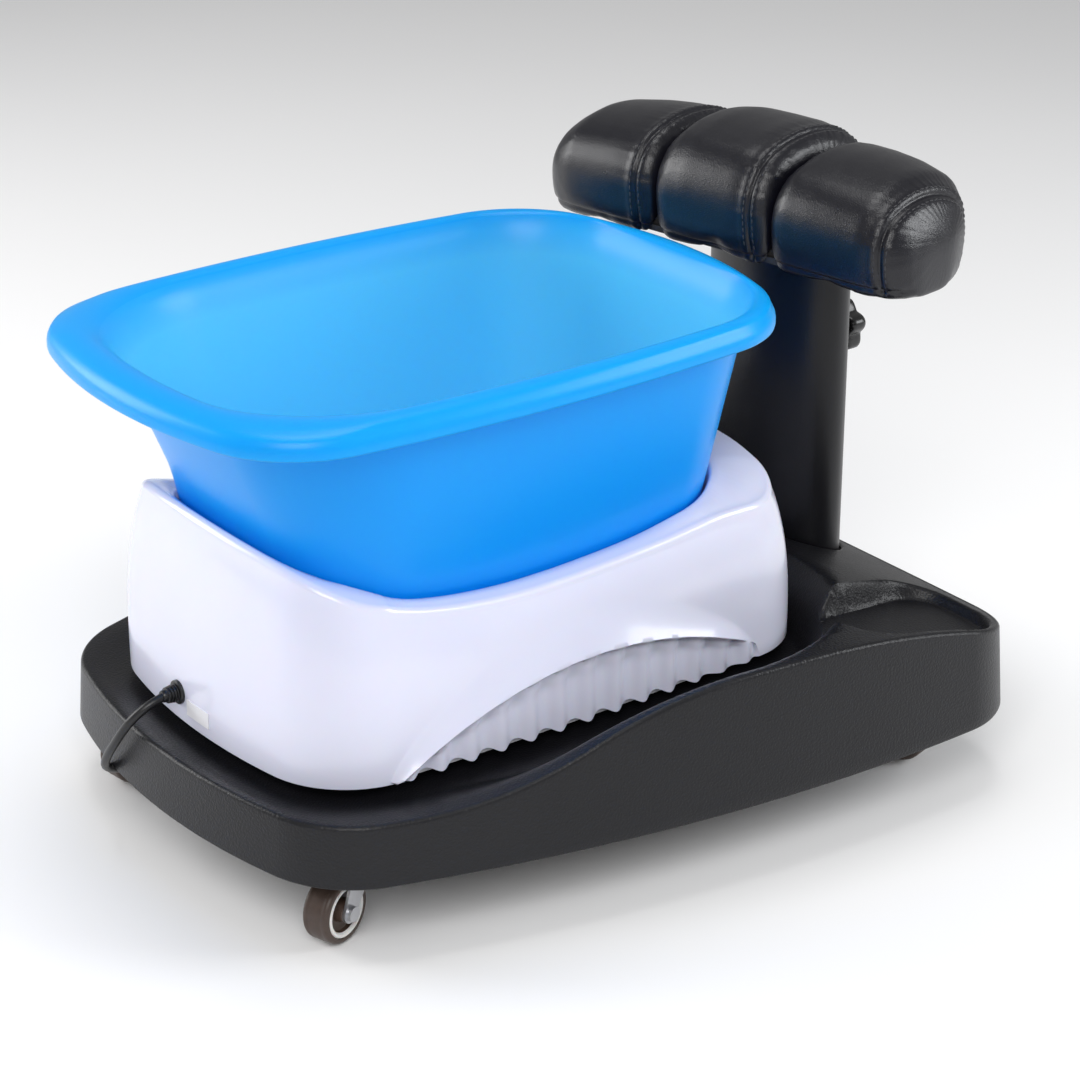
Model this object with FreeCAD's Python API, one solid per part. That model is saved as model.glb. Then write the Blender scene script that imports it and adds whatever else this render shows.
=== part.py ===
import FreeCAD, Part
import math
import os

from FreeCAD import Vector

# Rolling pedicure foot spa: a moulded base on four small casters carries a heated,
# vibrating cradle with a loose basin, and a column with a sliding three part footrest.
# All sizes are millimetres. X runs from the basin's front end to the column, Y across,
# Z up from the floor. While it is built, x = 0 lies under the middle of the basin.

os.makedirs("parts", exist_ok=True)

# Fits and gaps
running_gap = 0.05
working_gap = 0.3
seat_gap = 0.3

# Casters: 40 mm twin brown wheels in pressed forks
wheel_radius = 20.0
tread_width = 18.0
core_radius = 16.3
ring_proud = 0.6
ring_inner = 13.0
ring_outer = 15.9
hub_radius = 6.5
axle_radius = 3.0
axle_head_radius = 4.6
axle_head_height = 2.6
caster_trail = 15.0
fork_sheet = 1.8
fork_top_radius = 14.0
fork_leg_top = 11.0
fork_leg_bottom = 6.2
kingpin_radius = 3.0
rivet_radius = 4.6
rivet_height = 1.3
race_radius = 12.0
race_height = 3.0
plate_side = 42.0
plate_sheet = 2.0
plate_hole_spacing = 32.0
plate_hole_radius = 2.3
front_caster_x = -138.0
front_caster_side_gap = 110.0
rear_caster_rear_gap = 61.0
rear_caster_side_gap = 83.0
caster_swivels = (20.0, 8.0, 105.0, -25.0)

# Base: one moulded shell over a flat board
skirt_bottom = 49.0
board_gap = 3.0
board_thickness = 10.0
base_wall = 4.0
base_front = -201.0
base_rear = 321.0
base_half_width = 227.0
base_widest_x = 236.0
base_side_radius = 1153.0
base_front_radius = 455.0
base_rear_radius = 4000.0
base_front_corner = 72.0
base_rear_corner = 62.0
base_draft = 8.0
deck_front_height = 88.0
pocket_floor = 84.0
crest_height = 134.0
deck_rear_height = 94.0
ramp_start_x = -130.0
ramp_end_x = 90.0
crest_end_x = 120.0
pocket_rear = 223.0
pocket_front = -181.0
pocket_inset = 29.0
pocket_rear_corner = 120.0
pocket_front_corner = 60.0
boss_radius = 7.0
boss_xs = (-95.0, 30.0, 165.0)
boss_y = 105.0
board_screw_radius = 2.0
board_screw_head = 4.2
board_screw_engagement = 12.0

# Tray recesses in the rear deck, one beside each face of the column
tray_inner_front_ahead = 135.0
tray_inner_front_y = 132.0
tray_inner_rear_ahead = 17.0
tray_inner_rear_y = 124.0
tray_outer_rear_ahead = 21.0
tray_outer_rear_gap = 6.0
tray_outer_front_ahead = 149.0
tray_outer_front_gap = 15.0
tray_corner_radii = (12.0, 30.0, 42.0, 34.0)
tray_floor_front = 109.0
tray_floor_rear = 95.0
tray_backing = 12.0

# Column and its foot
column_rear_gap = 37.0
column_depth = 60.0
column_width = 124.0
column_wall = 3.0
column_top = 315.0
column_taper = 1.2
deck_hole_gap = 1.0
flange_length = 60.0
flange_width = 150.0
flange_sheet = 4.0
flange_bolt_x = 24.0
flange_bolt_y = 66.0
flange_bolt_radius = 3.0
flange_bolt_head = 5.0
flange_bolt_head_height = 4.0
bush_height = 34.0
bush_lip = 2.0

# Sliding post, its foot guide and the head plate
post_radius = 16.0
post_wall = 2.0
guide_height = 14.0
footrest_travel = 115.0
head_sheet = 4.0
head_length = 96.0
head_width = 190.0
head_screw_x = 36.0
head_screw_y = 80.0
head_screw_radius = 2.4
head_screw_head = 4.6
head_screw_head_height = 2.4

# Clamp on the rear face of the column
clamp_height = 236.0
clamp_pitch = 1.5
clamp_turns = 1.0
stud_radius = 4.0
clamp_nut_radius = 9.0
clamp_nut_height = 4.5
shoe_radius = 8.0
shoe_thickness = 3.6
knob_radius = 18.0
knob_lobes = 5
knob_lobe_radius = 5.2
knob_thickness = 14.0
knob_neck_radius = 8.0
knob_neck_length = 22.0

# Footrest pads on one board
pad_front_reach = 80.0
pad_depth = 120.0
pad_tuck = 11.0
pad_bottom_gap = 1.0
centre_pad_height = 76.0
side_pad_height = 66.0
centre_pad_width = 96.0
side_pad_width = 100.0
pad_channel = 12.0
footrest_turn = 9.0
footrest_board_thickness = 10.0
footrest_board_inset = 15.0
footrest_board_end_inset = 42.0

# Cradle unit
unit_lift = 8.0
unit_front = -172.0
unit_rear = 217.0
unit_half_width = 135.0
unit_side_x = 30.0
unit_side_radius = 2500.0
unit_front_radius = 438.0
unit_rear_radius = 900.0
unit_front_corner = 62.0
unit_rear_corner = 55.0
unit_draft = 17.0
unit_upright_share = 0.35
unit_upright_draft = 2.4
unit_wall = 3.0
unit_top_wall = 4.0
unit_height_front = 127.0
unit_height_middle = 94.0
unit_height_rear = 114.0
unit_dip_front_x = -128.0
unit_dip_middle_x = 20.0
unit_dip_rear_x = 162.0
opening_gap = 2.0
arch_centre_x = 22.0
arch_half_width = 138.0
arch_outer_rise = 71.0
arch_inner_rise = 44.0
arch_proud = 4.0
rib_pitch = 21.0
rib_count = 11
rib_width = 6.0
rib_proud = 2.5
foot_radius = 9.0
foot_x = 120.0
foot_y = 95.0
unit_plate_thickness = 3.0
spacer_radius = 5.0
spacer_x = 80.0
spacer_y = 60.0
housing_screw_radius = 1.8
housing_screw_head = 3.6
heater_thickness = 3.0
heater_inset = 14.0
motor_radius = 10.0
motor_length = 42.0
motor_x = 40.0
motor_y = -45.0
motor_shaft_radius = 2.0
motor_shaft_length = 15.0
weight_radius = 8.5
weight_thickness = 8.0
bracket_sheet = 2.0
bracket_length = 24.0
circuit_board_length = 60.0
circuit_board_width = 44.0
circuit_board_sheet = 1.6
circuit_board_x = -70.0
circuit_board_y = 30.0
circuit_board_lift = 4.0
chip_side = 12.0
chip_height = 6.0

# Switch on the side away from the cord
switch_x = -92.0
switch_z = 150.0
switch_length = 30.0
switch_height = 16.0
switch_depth = 15.0
switch_wall = 2.0
switch_proud = 2.0
rocker_thickness = 7.0
rocker_pin_radius = 1.0

# Basin
basin_floor_height = 128.0
basin_wall = 3.0
basin_rim_height = 321.0
basin_wall_front = -166.0
basin_wall_rear = 189.0
basin_wall_half_width = 132.0
basin_wall_side_x = 10.0
basin_wall_side_radius = 1500.0
basin_wall_front_radius = 420.0
basin_wall_rear_radius = 900.0
basin_wall_front_corner = 88.0
basin_wall_rear_corner = 74.0
basin_wall_draft = 40.0
rim_front = -212.0
rim_rear = 206.0
rim_half_width = 151.0
rim_side_x = -9.0
rim_side_radius = 1240.0
rim_front_radius = 360.0
rim_rear_radius = 270.0
rim_front_corner = 70.0
rim_rear_corner = 72.0
rim_drop = 16.0
rim_edge_height = 10.0
rim_crest_run = 9.0
basin_lift_out = 0.2

# Mains lead
cord_diameter = 5.5
gland_y = 13.0
gland_height = 110.0
gland_flange_radius = 7.5
gland_flange_thickness = 2.5
gland_sleeve_radius = 5.2
gland_tip_radius = 4.0
gland_length = 9.0
coil_inner_radius = 20.0
coil_turns_per_layer = 3
coil_pitch = 6.2
coil_x = -51.0
coil_y = 8.0
plug_length = 34.0
plug_width = 32.0
plug_height = 17.0
plug_pin_radius = 2.2
plug_pin_length = 19.0
plug_pin_spacing = 18.0
tie_width = 8.0
tie_thickness = 1.0

# The blank plate beside the cord
label_width = 24.0
label_height = 10.0
label_thickness = 0.8
label_y = -9.0
label_z = 104.0

# Heights and places that follow from the sizes above
deck_bottom = pocket_floor - base_wall
column_x = base_rear - column_rear_gap
pad_front = column_x - pad_front_reach
tray_inner_front = (base_rear - tray_inner_front_ahead, tray_inner_front_y)
tray_inner_rear = (base_rear - tray_inner_rear_ahead, tray_inner_rear_y)
tray_outer_rear = (base_rear - tray_outer_rear_ahead, base_half_width - tray_outer_rear_gap)
tray_outer_front = (base_rear - tray_outer_front_ahead, base_half_width - tray_outer_front_gap)
rear_caster_x = base_rear - rear_caster_rear_gap
front_caster_y = base_half_width - front_caster_side_gap
rear_caster_y = base_half_width - rear_caster_side_gap
board_bottom = skirt_bottom + board_gap
board_top = board_bottom + board_thickness
plate_bottom = board_bottom - plate_sheet
race_bottom = plate_bottom - race_height
fork_top = race_bottom - seat_gap
fork_underside = fork_top - fork_sheet
core_width = tread_width - 1.0
hub_width = tread_width + 2.0
fork_inside = hub_width / 2 + working_gap
unit_bottom = pocket_floor + unit_lift
flange_top = board_top + flange_sheet
column_rear = column_x + column_depth / 2
column_front = column_x - column_depth / 2
head_bottom = column_top + bush_lip + seat_gap
head_top = head_bottom + head_sheet
pad_bottom = head_top
pad_rear = pad_front + pad_depth
pad_middle_x = pad_front + pad_depth / 2
heater_top = basin_floor_height - seat_gap
heater_bottom = heater_top - heater_thickness
well_bottom = heater_bottom - unit_wall
rim_low = basin_rim_height - rim_drop
knob_front = column_rear + knob_neck_length
knob_rear = knob_front + knob_thickness

# The part's own frame: its origin is on the floor under the middle of its length
middle_x = (rim_front + knob_rear) / 2


# Writing a node's file, moved into the part's own frame
def save(name, *solids):
    pieces = [solid.translated(Vector(-middle_x, 0, 0)) for solid in solids]
    shape = pieces[0] if len(pieces) == 1 else Part.makeCompound(pieces)
    shape.exportStep("parts/" + name + ".step")
    print(name, len(shape.Solids), "solid(s)", round(shape.Volume, 1), "mm3", "" if shape.isValid() else "INVALID")


def fuse_all(solids):
    joined = solids[0].multiFuse(solids[1:])
    return joined.removeSplitter()


def cylinder(radius, start, direction, length):
    return Part.makeCylinder(radius, length, Vector(*start), Vector(*direction))


def tube(outer, inner, start, direction, length):
    return cylinder(outer, start, direction, length).cut(cylinder(inner, start, direction, length))


def block(low, high):
    size = [high[i] - low[i] for i in range(3)]
    return Part.makeBox(size[0], size[1], size[2], Vector(*low))


def mirrored(shape):
    return shape.mirror(Vector(0, 0, 0), Vector(0, 1, 0))


# Ovals of eight tangent arcs: front, sides, rear and four corners
def corner_centre(first, first_radius, second, second_radius, corner, toward):
    reach_one = first_radius - corner
    reach_two = second_radius - corner
    dx = second[0] - first[0]
    dy = second[1] - first[1]
    span = math.hypot(dx, dy)
    along = (span ** 2 + reach_one ** 2 - reach_two ** 2) / (2 * span)
    aside = math.sqrt(reach_one ** 2 - along ** 2)
    options = []
    for sign in (-1, 1):
        x = first[0] + along * dx / span - sign * aside * dy / span
        y = first[1] + along * dy / span + sign * aside * dx / span
        options.append((x, y))
    return max(options, key=lambda point: toward * point[0])


def on_circle(centre, radius, toward):
    dx = toward[0] - centre[0]
    dy = toward[1] - centre[1]
    reach = math.hypot(dx, dy)
    return (centre[0] + radius * dx / reach, centre[1] + radius * dy / reach)


def oval_arcs(form, inset):
    front, rear, side, side_x, side_radius, front_radius, rear_radius, front_corner, rear_corner = form
    front_middle = (front + front_radius, 0.0)
    rear_middle = (rear - rear_radius, 0.0)
    side_middle = (side_x, side - side_radius)
    near = corner_centre(front_middle, front_radius, side_middle, side_radius, front_corner, -1)
    far = corner_centre(rear_middle, rear_radius, side_middle, side_radius, rear_corner, 1)
    a = on_circle(front_middle, front_radius - inset, near)
    b = on_circle(side_middle, side_radius - inset, near)
    c = on_circle(side_middle, side_radius - inset, far)
    d = on_circle(rear_middle, rear_radius - inset, far)
    near_via = on_circle(near, front_corner - inset, ((a[0] + b[0]) / 2, (a[1] + b[1]) / 2))
    far_via = on_circle(far, rear_corner - inset, ((c[0] + d[0]) / 2, (c[1] + d[1]) / 2))
    side_via = on_circle(side_middle, side_radius - inset, ((b[0] + c[0]) / 2, (b[1] + c[1]) / 2))

    def over(point):
        return (point[0], -point[1])

    return [
        (over(a), (front + inset, 0.0), a),
        (a, near_via, b),
        (b, side_via, c),
        (c, far_via, d),
        (d, (rear - inset, 0.0), over(d)),
        (over(d), over(far_via), over(c)),
        (over(c), over(side_via), over(b)),
        (over(b), over(near_via), over(a)),
    ]


def oval(form, inset, height):
    edges = []
    for start, via, end in oval_arcs(form, inset):
        points = [Vector(point[0], point[1], height) for point in (start, via, end)]
        edges.append(Part.Arc(points[0], points[1], points[2]).toShape())
    return Part.Wire(edges)


def slab(form, low, high, inset_low, inset_high):
    return Part.makeLoft([oval(form, inset_low, low), oval(form, inset_high, high)], True, True)


# Outlines with straight sides and round corners
def offset_polygon(points, distance):
    moved = []
    count = len(points)
    for i in range(count):
        before = points[i - 1]
        here = points[i]
        after = points[(i + 1) % count]
        one = (here[0] - before[0], here[1] - before[1])
        two = (after[0] - here[0], after[1] - here[1])
        one_length = math.hypot(*one)
        two_length = math.hypot(*two)
        normal_one = (one[1] / one_length, -one[0] / one_length)
        normal_two = (two[1] / two_length, -two[0] / two_length)
        share = 1 + normal_one[0] * normal_two[0] + normal_one[1] * normal_two[1]
        moved.append((
            here[0] + distance * (normal_one[0] + normal_two[0]) / share,
            here[1] + distance * (normal_one[1] + normal_two[1]) / share,
        ))
    return moved


def rounded_outline(points, radii, height):
    corners = [Vector(point[0], point[1], height) for point in points]
    count = len(corners)
    starts = []
    ends = []
    arcs = []
    for i in range(count):
        here = corners[i]
        back = (corners[i - 1] - here).normalize()
        ahead = (corners[(i + 1) % count] - here).normalize()
        half = back.getAngle(ahead) / 2
        reach = radii[i] / math.tan(half)
        middle = here + (back + ahead).normalize() * (radii[i] / math.sin(half))
        start = here + back * reach
        end = here + ahead * reach
        via = middle + (here - middle).normalize() * radii[i]
        starts.append(start)
        ends.append(end)
        arcs.append(Part.Arc(start, via, end).toShape())
    edges = []
    for i in range(count):
        edges.append(arcs[i])
        edges.append(Part.makeLine(ends[i], starts[(i + 1) % count]))
    return Part.Wire(edges)


def prism(wire, direction):
    return Part.Face(wire).extrude(direction)


def closed(edges):
    return Part.Wire(edges)


def line(start, end):
    return Part.makeLine(Vector(*start), Vector(*end))


def arc(start, via, end):
    return Part.Arc(Vector(*start), Vector(*via), Vector(*end)).toShape()


# The base's outer form, shrunk by one wall for the hollow inside
base_outline = (
    base_front, base_rear, base_half_width, base_widest_x, base_side_radius,
    base_front_radius, base_rear_radius, base_front_corner, base_rear_corner,
)
pocket_outline = (
    pocket_front, pocket_rear, base_half_width - pocket_inset, base_widest_x,
    base_side_radius - pocket_inset, base_front_radius, base_rear_radius,
    pocket_front_corner, pocket_rear_corner,
)
tray_outline = (tray_inner_front, tray_inner_rear, tray_outer_rear, tray_outer_front)
form_height = crest_height + 16.0
beyond = 300.0


def under_deck(drop):
    low = deck_front_height - drop
    high = crest_height - drop
    rear = deck_rear_height - drop
    middle = (ramp_start_x + ramp_end_x) / 2
    half_run = (ramp_end_x - ramp_start_x) / 2
    half_rise = (high - low) / 2
    ramp_radius = (half_run ** 2 + half_rise ** 2) / (2 * half_rise)
    quarter = math.asin(half_run / ramp_radius) / 2
    dip_x = ramp_start_x + ramp_radius * math.sin(quarter)
    dip_z = low + ramp_radius * (1 - math.cos(quarter))
    hump_x = ramp_end_x - ramp_radius * math.sin(quarter)
    hump_z = high - ramp_radius * (1 - math.cos(quarter))
    fall_run = base_rear - crest_end_x
    fall_drop = high - rear
    fall_radius = (fall_run ** 2 + fall_drop ** 2) / (2 * fall_drop)
    end_x = base_rear + base_wall
    end_z = high - fall_radius + math.sqrt(fall_radius ** 2 - (end_x - crest_end_x) ** 2)
    half_x = crest_end_x + fall_run / 2
    half_z = high - fall_radius + math.sqrt(fall_radius ** 2 - (half_x - crest_end_x) ** 2)
    y = -beyond
    start_x = base_front - base_wall
    edges = [
        line((start_x, y, 0), (start_x, y, low)),
        line((start_x, y, low), (ramp_start_x, y, low)),
        arc((ramp_start_x, y, low), (dip_x, y, dip_z), (middle, y, low + half_rise)),
        arc((middle, y, low + half_rise), (hump_x, y, hump_z), (ramp_end_x, y, high)),
        line((ramp_end_x, y, high), (crest_end_x, y, high)),
        arc((crest_end_x, y, high), (half_x, y, half_z), (end_x, y, end_z)),
        line((end_x, y, end_z), (end_x, y, 0)),
        line((end_x, y, 0), (start_x, y, 0)),
    ]
    return prism(closed(edges), Vector(0, 2 * beyond, 0))


def tray_cut(grown):
    outline = offset_polygon(tray_outline, grown)
    radii = [radius + grown for radius in tray_corner_radii]
    well = prism(rounded_outline(outline, radii, 0), Vector(0, 0, form_height))
    slope = (tray_floor_rear - tray_floor_front) / (tray_inner_rear[0] - tray_inner_front[0])
    front_x = tray_outer_front[0] - 2 * tray_backing
    rear_x = tray_inner_rear[0] + 2 * tray_backing
    sink = base_wall if grown else 0.0
    front_z = tray_floor_front + slope * (front_x - tray_inner_front[0]) - sink
    rear_z = tray_floor_front + slope * (rear_x - tray_inner_front[0]) - sink
    above = Part.makePolygon([
        Vector(front_x, 0, front_z), Vector(rear_x, 0, rear_z),
        Vector(rear_x, 0, form_height), Vector(front_x, 0, form_height), Vector(front_x, 0, front_z),
    ])
    return well.common(prism(above, Vector(0, beyond, 0)))


def base_form(inset):
    grown = tray_backing if inset else 0.0
    body = slab(base_outline, skirt_bottom, form_height, inset, inset + base_draft)
    body = body.common(under_deck(inset))
    floor = pocket_floor - inset
    body = body.cut(slab(pocket_outline, floor, form_height + 1, -inset, -inset))
    tray = tray_cut(grown)
    return body.cut(tray).cut(mirrored(tray))


# The column is an ellipse that narrows a little upwards
def column_oval(inset, height):
    share = (height - flange_top) / (column_top - flange_top)
    narrowing = inset + column_taper * share
    half_width = column_width / 2 - narrowing
    half_depth = column_depth / 2 - narrowing
    across = Vector(column_x, half_width, height)
    along = Vector(column_x + half_depth, 0, height)
    ellipse = Part.Ellipse(across, along, Vector(column_x, 0, height))
    return Part.Wire([ellipse.toShape()])


def column_form(inset, low, high):
    return Part.makeLoft([column_oval(inset, low), column_oval(inset, high)], True, True)


# Base shell, board and the screws that join them
def boss_places():
    return [(x, sign * boss_y) for x in boss_xs for sign in (-1, 1)]


def make_base_shell():
    shell = base_form(0.0).cut(base_form(base_wall))
    bosses = []
    for x, y in boss_places():
        boss = cylinder(boss_radius, (x, y, board_top), (0, 0, 1), deck_bottom - board_top + 1)
        bosses.append(boss)
    shell = fuse_all([shell] + bosses)
    for x, y in boss_places():
        hole = cylinder(board_screw_radius, (x, y, board_top - 1), (0, 0, 1), board_screw_engagement + 1)
        shell = shell.cut(hole)
    return shell.cut(column_form(-deck_hole_gap, flange_top, crest_height))


def make_base_board():
    lean_in = base_draft * (board_top - skirt_bottom) / (form_height - skirt_bottom)
    inset = base_wall + seat_gap + lean_in
    board = slab(base_outline, board_bottom, board_top, inset, inset)
    for x, y in boss_places():
        board = board.cut(cylinder(board_screw_radius, (x, y, board_bottom), (0, 0, 1), board_thickness))
    for x, y in caster_screw_places():
        board = board.cut(cylinder(plate_hole_radius, (x, y, board_bottom), (0, 0, 1), board_thickness - 1))
    for x, y in flange_bolt_places():
        board = board.cut(cylinder(flange_bolt_radius, (x, y, board_bottom), (0, 0, 1), board_thickness))
    return board


def make_board_screws():
    screws = []
    for x, y in boss_places():
        head = cylinder(board_screw_head, (x, y, board_bottom - 2), (0, 0, 1), 2)
        shank_length = board_thickness + board_screw_engagement - 1
        shank = cylinder(board_screw_radius, (x, y, board_bottom - 1), (0, 0, 1), shank_length + 1)
        screws.append(fuse_all([head, shank]))
    return screws


# Casters
def caster_places():
    return [
        (front_caster_x, -front_caster_y), (front_caster_x, front_caster_y),
        (rear_caster_x, -rear_caster_y), (rear_caster_x, rear_caster_y),
    ]


def caster_screw_places():
    half = plate_hole_spacing / 2
    return [(x + i * half, y + j * half) for x, y in caster_places() for i in (-1, 1) for j in (-1, 1)]


def swivelled(shape, x, y, angle):
    return shape.rotated(Vector(x, y, 0), Vector(0, 0, 1), angle)


def make_caster_plate(x, y):
    half = plate_side / 2
    plate = block((x - half, y - half, plate_bottom), (x + half, y + half, board_bottom))
    corners = [edge for edge in plate.Edges if abs(edge.Vertexes[0].Z - edge.Vertexes[1].Z) > plate_sheet / 2]
    plate = plate.makeFillet(plate_sheet * 2, corners)
    race = cylinder(race_radius, (x, y, race_bottom), (0, 0, 1), race_height + plate_sheet / 2)
    rivet_top = fork_underside - seat_gap
    pin = cylinder(kingpin_radius, (x, y, rivet_top), (0, 0, 1), race_bottom - rivet_top + 1)
    rivet = cylinder(rivet_radius, (x, y, rivet_top - rivet_height), (0, 0, 1), rivet_height)
    plate = fuse_all([plate, race, pin, rivet])
    half_spacing = plate_hole_spacing / 2
    for i in (-1, 1):
        for j in (-1, 1):
            start = (x + i * half_spacing, y + j * half_spacing, plate_bottom)
            plate = plate.cut(cylinder(plate_hole_radius, start, (0, 0, 1), plate_sheet))
    return plate


def make_caster_screws():
    screws = []
    for x, y in caster_screw_places():
        head = cylinder(plate_hole_radius * 1.8, (x, y, plate_bottom - 2), (0, 0, 1), 2)
        shank = cylinder(plate_hole_radius, (x, y, plate_bottom - 1), (0, 0, 1), board_thickness + plate_sheet)
        screws.append(fuse_all([head, shank]))
    return screws


def make_caster_fork(x, y):
    axle_x = x - caster_trail
    width = fork_inside + fork_sheet
    top = cylinder(fork_top_radius, (x, y, fork_underside), (0, 0, 1), fork_sheet)
    bridge = block((x - fork_leg_top, y - width, fork_underside), (x + fork_leg_top, y + width, fork_top))
    legs = []
    for side in (-1, 1):
        plane = y + side * fork_inside if side > 0 else y - fork_inside - fork_sheet
        outline = Part.makePolygon([
            Vector(x - fork_leg_top, plane, fork_top), Vector(x + fork_leg_top, plane, fork_top),
            Vector(axle_x + fork_leg_bottom, plane, wheel_radius),
            Vector(axle_x - fork_leg_bottom, plane, wheel_radius), Vector(x - fork_leg_top, plane, fork_top),
        ])
        leg = prism(outline, Vector(0, fork_sheet, 0))
        legs.append(leg.fuse(cylinder(fork_leg_bottom, (axle_x, plane, wheel_radius), (0, 1, 0), fork_sheet)))
    fork = fuse_all([top, bridge] + legs)
    fork = fork.cut(cylinder(kingpin_radius + running_gap, (x, y, fork_underside), (0, 0, 1), fork_sheet))
    return fork.cut(cylinder(axle_radius, (axle_x, y - width, wheel_radius), (0, 1, 0), 2 * width))


def make_caster_axle(x, y):
    axle_x = x - caster_trail
    width = fork_inside + fork_sheet
    shaft = cylinder(axle_radius, (axle_x, y - width, wheel_radius), (0, 1, 0), 2 * width)
    head = cylinder(axle_head_radius, (axle_x, y - width - axle_head_height, wheel_radius), (0, 1, 0), axle_head_height)
    nut_points = []
    for k in range(7):
        turn = math.radians(60 * k)
        nut_points.append(Vector(
            axle_x + axle_head_radius * math.cos(turn), y + width, wheel_radius + axle_head_radius * math.sin(turn)))
    nut = prism(Part.makePolygon(nut_points), Vector(0, axle_head_height, 0))
    return fuse_all([shaft, head, nut])


def make_wheel_core(x, y):
    axle = Vector(x - caster_trail, y, wheel_radius)
    half = core_width / 2
    bore = axle_radius + running_gap
    outline = [
        (bore, hub_width / 2), (hub_radius, hub_width / 2), (hub_radius, half - ring_proud),
        (ring_inner, half - ring_proud), (ring_inner, half), (ring_outer, half),
        (ring_outer, half - ring_proud), (core_radius, half - ring_proud),
    ]
    points = [Vector(axle.x + r, axle.y + w, axle.z) for r, w in outline]
    points = points + [Vector(axle.x + r, axle.y - w, axle.z) for r, w in reversed(outline)]
    face = Part.Face(Part.makePolygon(points + [points[0]]))
    return face.revolve(axle, Vector(0, 1, 0), 360)


def make_wheel_tyre(x, y):
    axle = Vector(x - caster_trail, y, wheel_radius)
    half = tread_width / 2
    shoulder = 3.0
    start = (axle.x + core_radius, axle.y - half + 0.5, axle.z)
    low = (axle.x + wheel_radius - shoulder, axle.y - half, axle.z)
    tread_low = (axle.x + wheel_radius, axle.y - half + shoulder, axle.z)
    tread_high = (axle.x + wheel_radius, axle.y + half - shoulder, axle.z)
    high = (axle.x + wheel_radius - shoulder, axle.y + half, axle.z)
    end = (axle.x + core_radius, axle.y + half - 0.5, axle.z)
    reach = wheel_radius - shoulder + shoulder * math.sin(math.radians(45))
    edge = half - shoulder + shoulder * math.cos(math.radians(45))
    edges = [
        line(start, low),
        arc(low, (axle.x + reach, axle.y - edge, axle.z), tread_low),
        line(tread_low, tread_high),
        arc(tread_high, (axle.x + reach, axle.y + edge, axle.z), high),
        line(high, end),
        line(end, start),
    ]
    return Part.Face(closed(edges)).revolve(axle, Vector(0, 1, 0), 360)


# Column, its flange, bolts and top bush
def flange_bolt_places():
    return [(column_x + i * flange_bolt_x, j * flange_bolt_y) for i in (-1, 1) for j in (-1, 1)]


def make_column_flange():
    half_length = flange_length / 2
    half_width = flange_width / 2
    plate = block(
        (column_x - half_length, -half_width, board_top), (column_x + half_length, half_width, flange_top))
    for x, y in flange_bolt_places():
        plate = plate.cut(cylinder(flange_bolt_radius, (x, y, board_top), (0, 0, 1), flange_sheet))
    return plate


def make_column_bolts():
    bolts = []
    for x, y in flange_bolt_places():
        head = cylinder(flange_bolt_head, (x, y, flange_top), (0, 0, 1), flange_bolt_head_height)
        shank = cylinder(flange_bolt_radius, (x, y, board_bottom), (0, 0, 1), flange_top - board_bottom + 1)
        bolts.append(fuse_all([head, shank]))
    return bolts


def make_column_tube():
    tube_form = column_form(0.0, flange_top, column_top).cut(column_form(column_wall, flange_top, column_top))
    hole = cylinder(stud_radius + 1, (column_x, 0, clamp_height), (1, 0, 0), column_depth)
    return tube_form.cut(hole)


def make_column_bush():
    plug = column_form(column_wall, column_top - bush_height, column_top)
    lip = prism(column_oval(0.0, column_top), Vector(0, 0, bush_lip))
    bush = fuse_all([plug, lip])
    bore = cylinder(
        post_radius + running_gap, (column_x, 0, column_top - bush_height), (0, 0, 1), bush_height + bush_lip)
    return bush.cut(bore)


# Inside face of the column's rear wall at a height
def column_inner_rear(height):
    share = (height - flange_top) / (column_top - flange_top)
    return column_rear - column_wall - column_taper * share


# Sliding post with its foot guide
post_bottom = flange_top + seat_gap


def make_footrest_post():
    post = tube(post_radius, post_radius - post_wall, (column_x, 0, post_bottom), (0, 0, 1), head_bottom - post_bottom)
    guide = column_form(column_wall + working_gap + column_taper, post_bottom, post_bottom + guide_height)
    guide = guide.cut(cylinder(post_radius - post_wall, (column_x, 0, post_bottom), (0, 0, 1), guide_height))
    return fuse_all([post, guide])


def head_screw_places():
    return [(pad_middle_x + i * head_screw_x, j * head_screw_y) for i in (-1, 1) for j in (-1, 1)]


def make_head_plate():
    half_length = head_length / 2
    half_width = head_width / 2
    plate = block(
        (pad_middle_x - half_length, -half_width, head_bottom), (pad_middle_x + half_length, half_width, head_top))
    for x, y in head_screw_places():
        plate = plate.cut(cylinder(head_screw_radius, (x, y, head_bottom), (0, 0, 1), head_sheet))
    return plate


def footrest_board_form(grown):
    half_length = pad_depth / 2 - footrest_board_inset + grown
    half_width = centre_pad_width / 2 + side_pad_width - footrest_board_end_inset + grown
    corner = 24.0
    low = pad_bottom
    outline = [
        (pad_middle_x - half_length, -half_width), (pad_middle_x + half_length, -half_width),
        (pad_middle_x + half_length, half_width), (pad_middle_x - half_length, half_width),
    ]
    wire = rounded_outline(outline, [corner] * 4, low)
    return prism(wire, Vector(0, 0, footrest_board_thickness + grown))


def make_footrest_board():
    board = footrest_board_form(0.0)
    for x, y in head_screw_places():
        board = board.cut(cylinder(head_screw_radius, (x, y, pad_bottom), (0, 0, 1), footrest_board_thickness - 1))
    return board


def make_head_screws():
    screws = []
    for x, y in head_screw_places():
        head = cylinder(
            head_screw_head, (x, y, head_bottom - head_screw_head_height), (0, 0, 1), head_screw_head_height)
        shank_length = head_sheet + footrest_board_thickness - 1
        shank = cylinder(head_screw_radius, (x, y, head_bottom), (0, 0, 1), shank_length)
        screws.append(fuse_all([head, shank]))
    return screws


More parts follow.
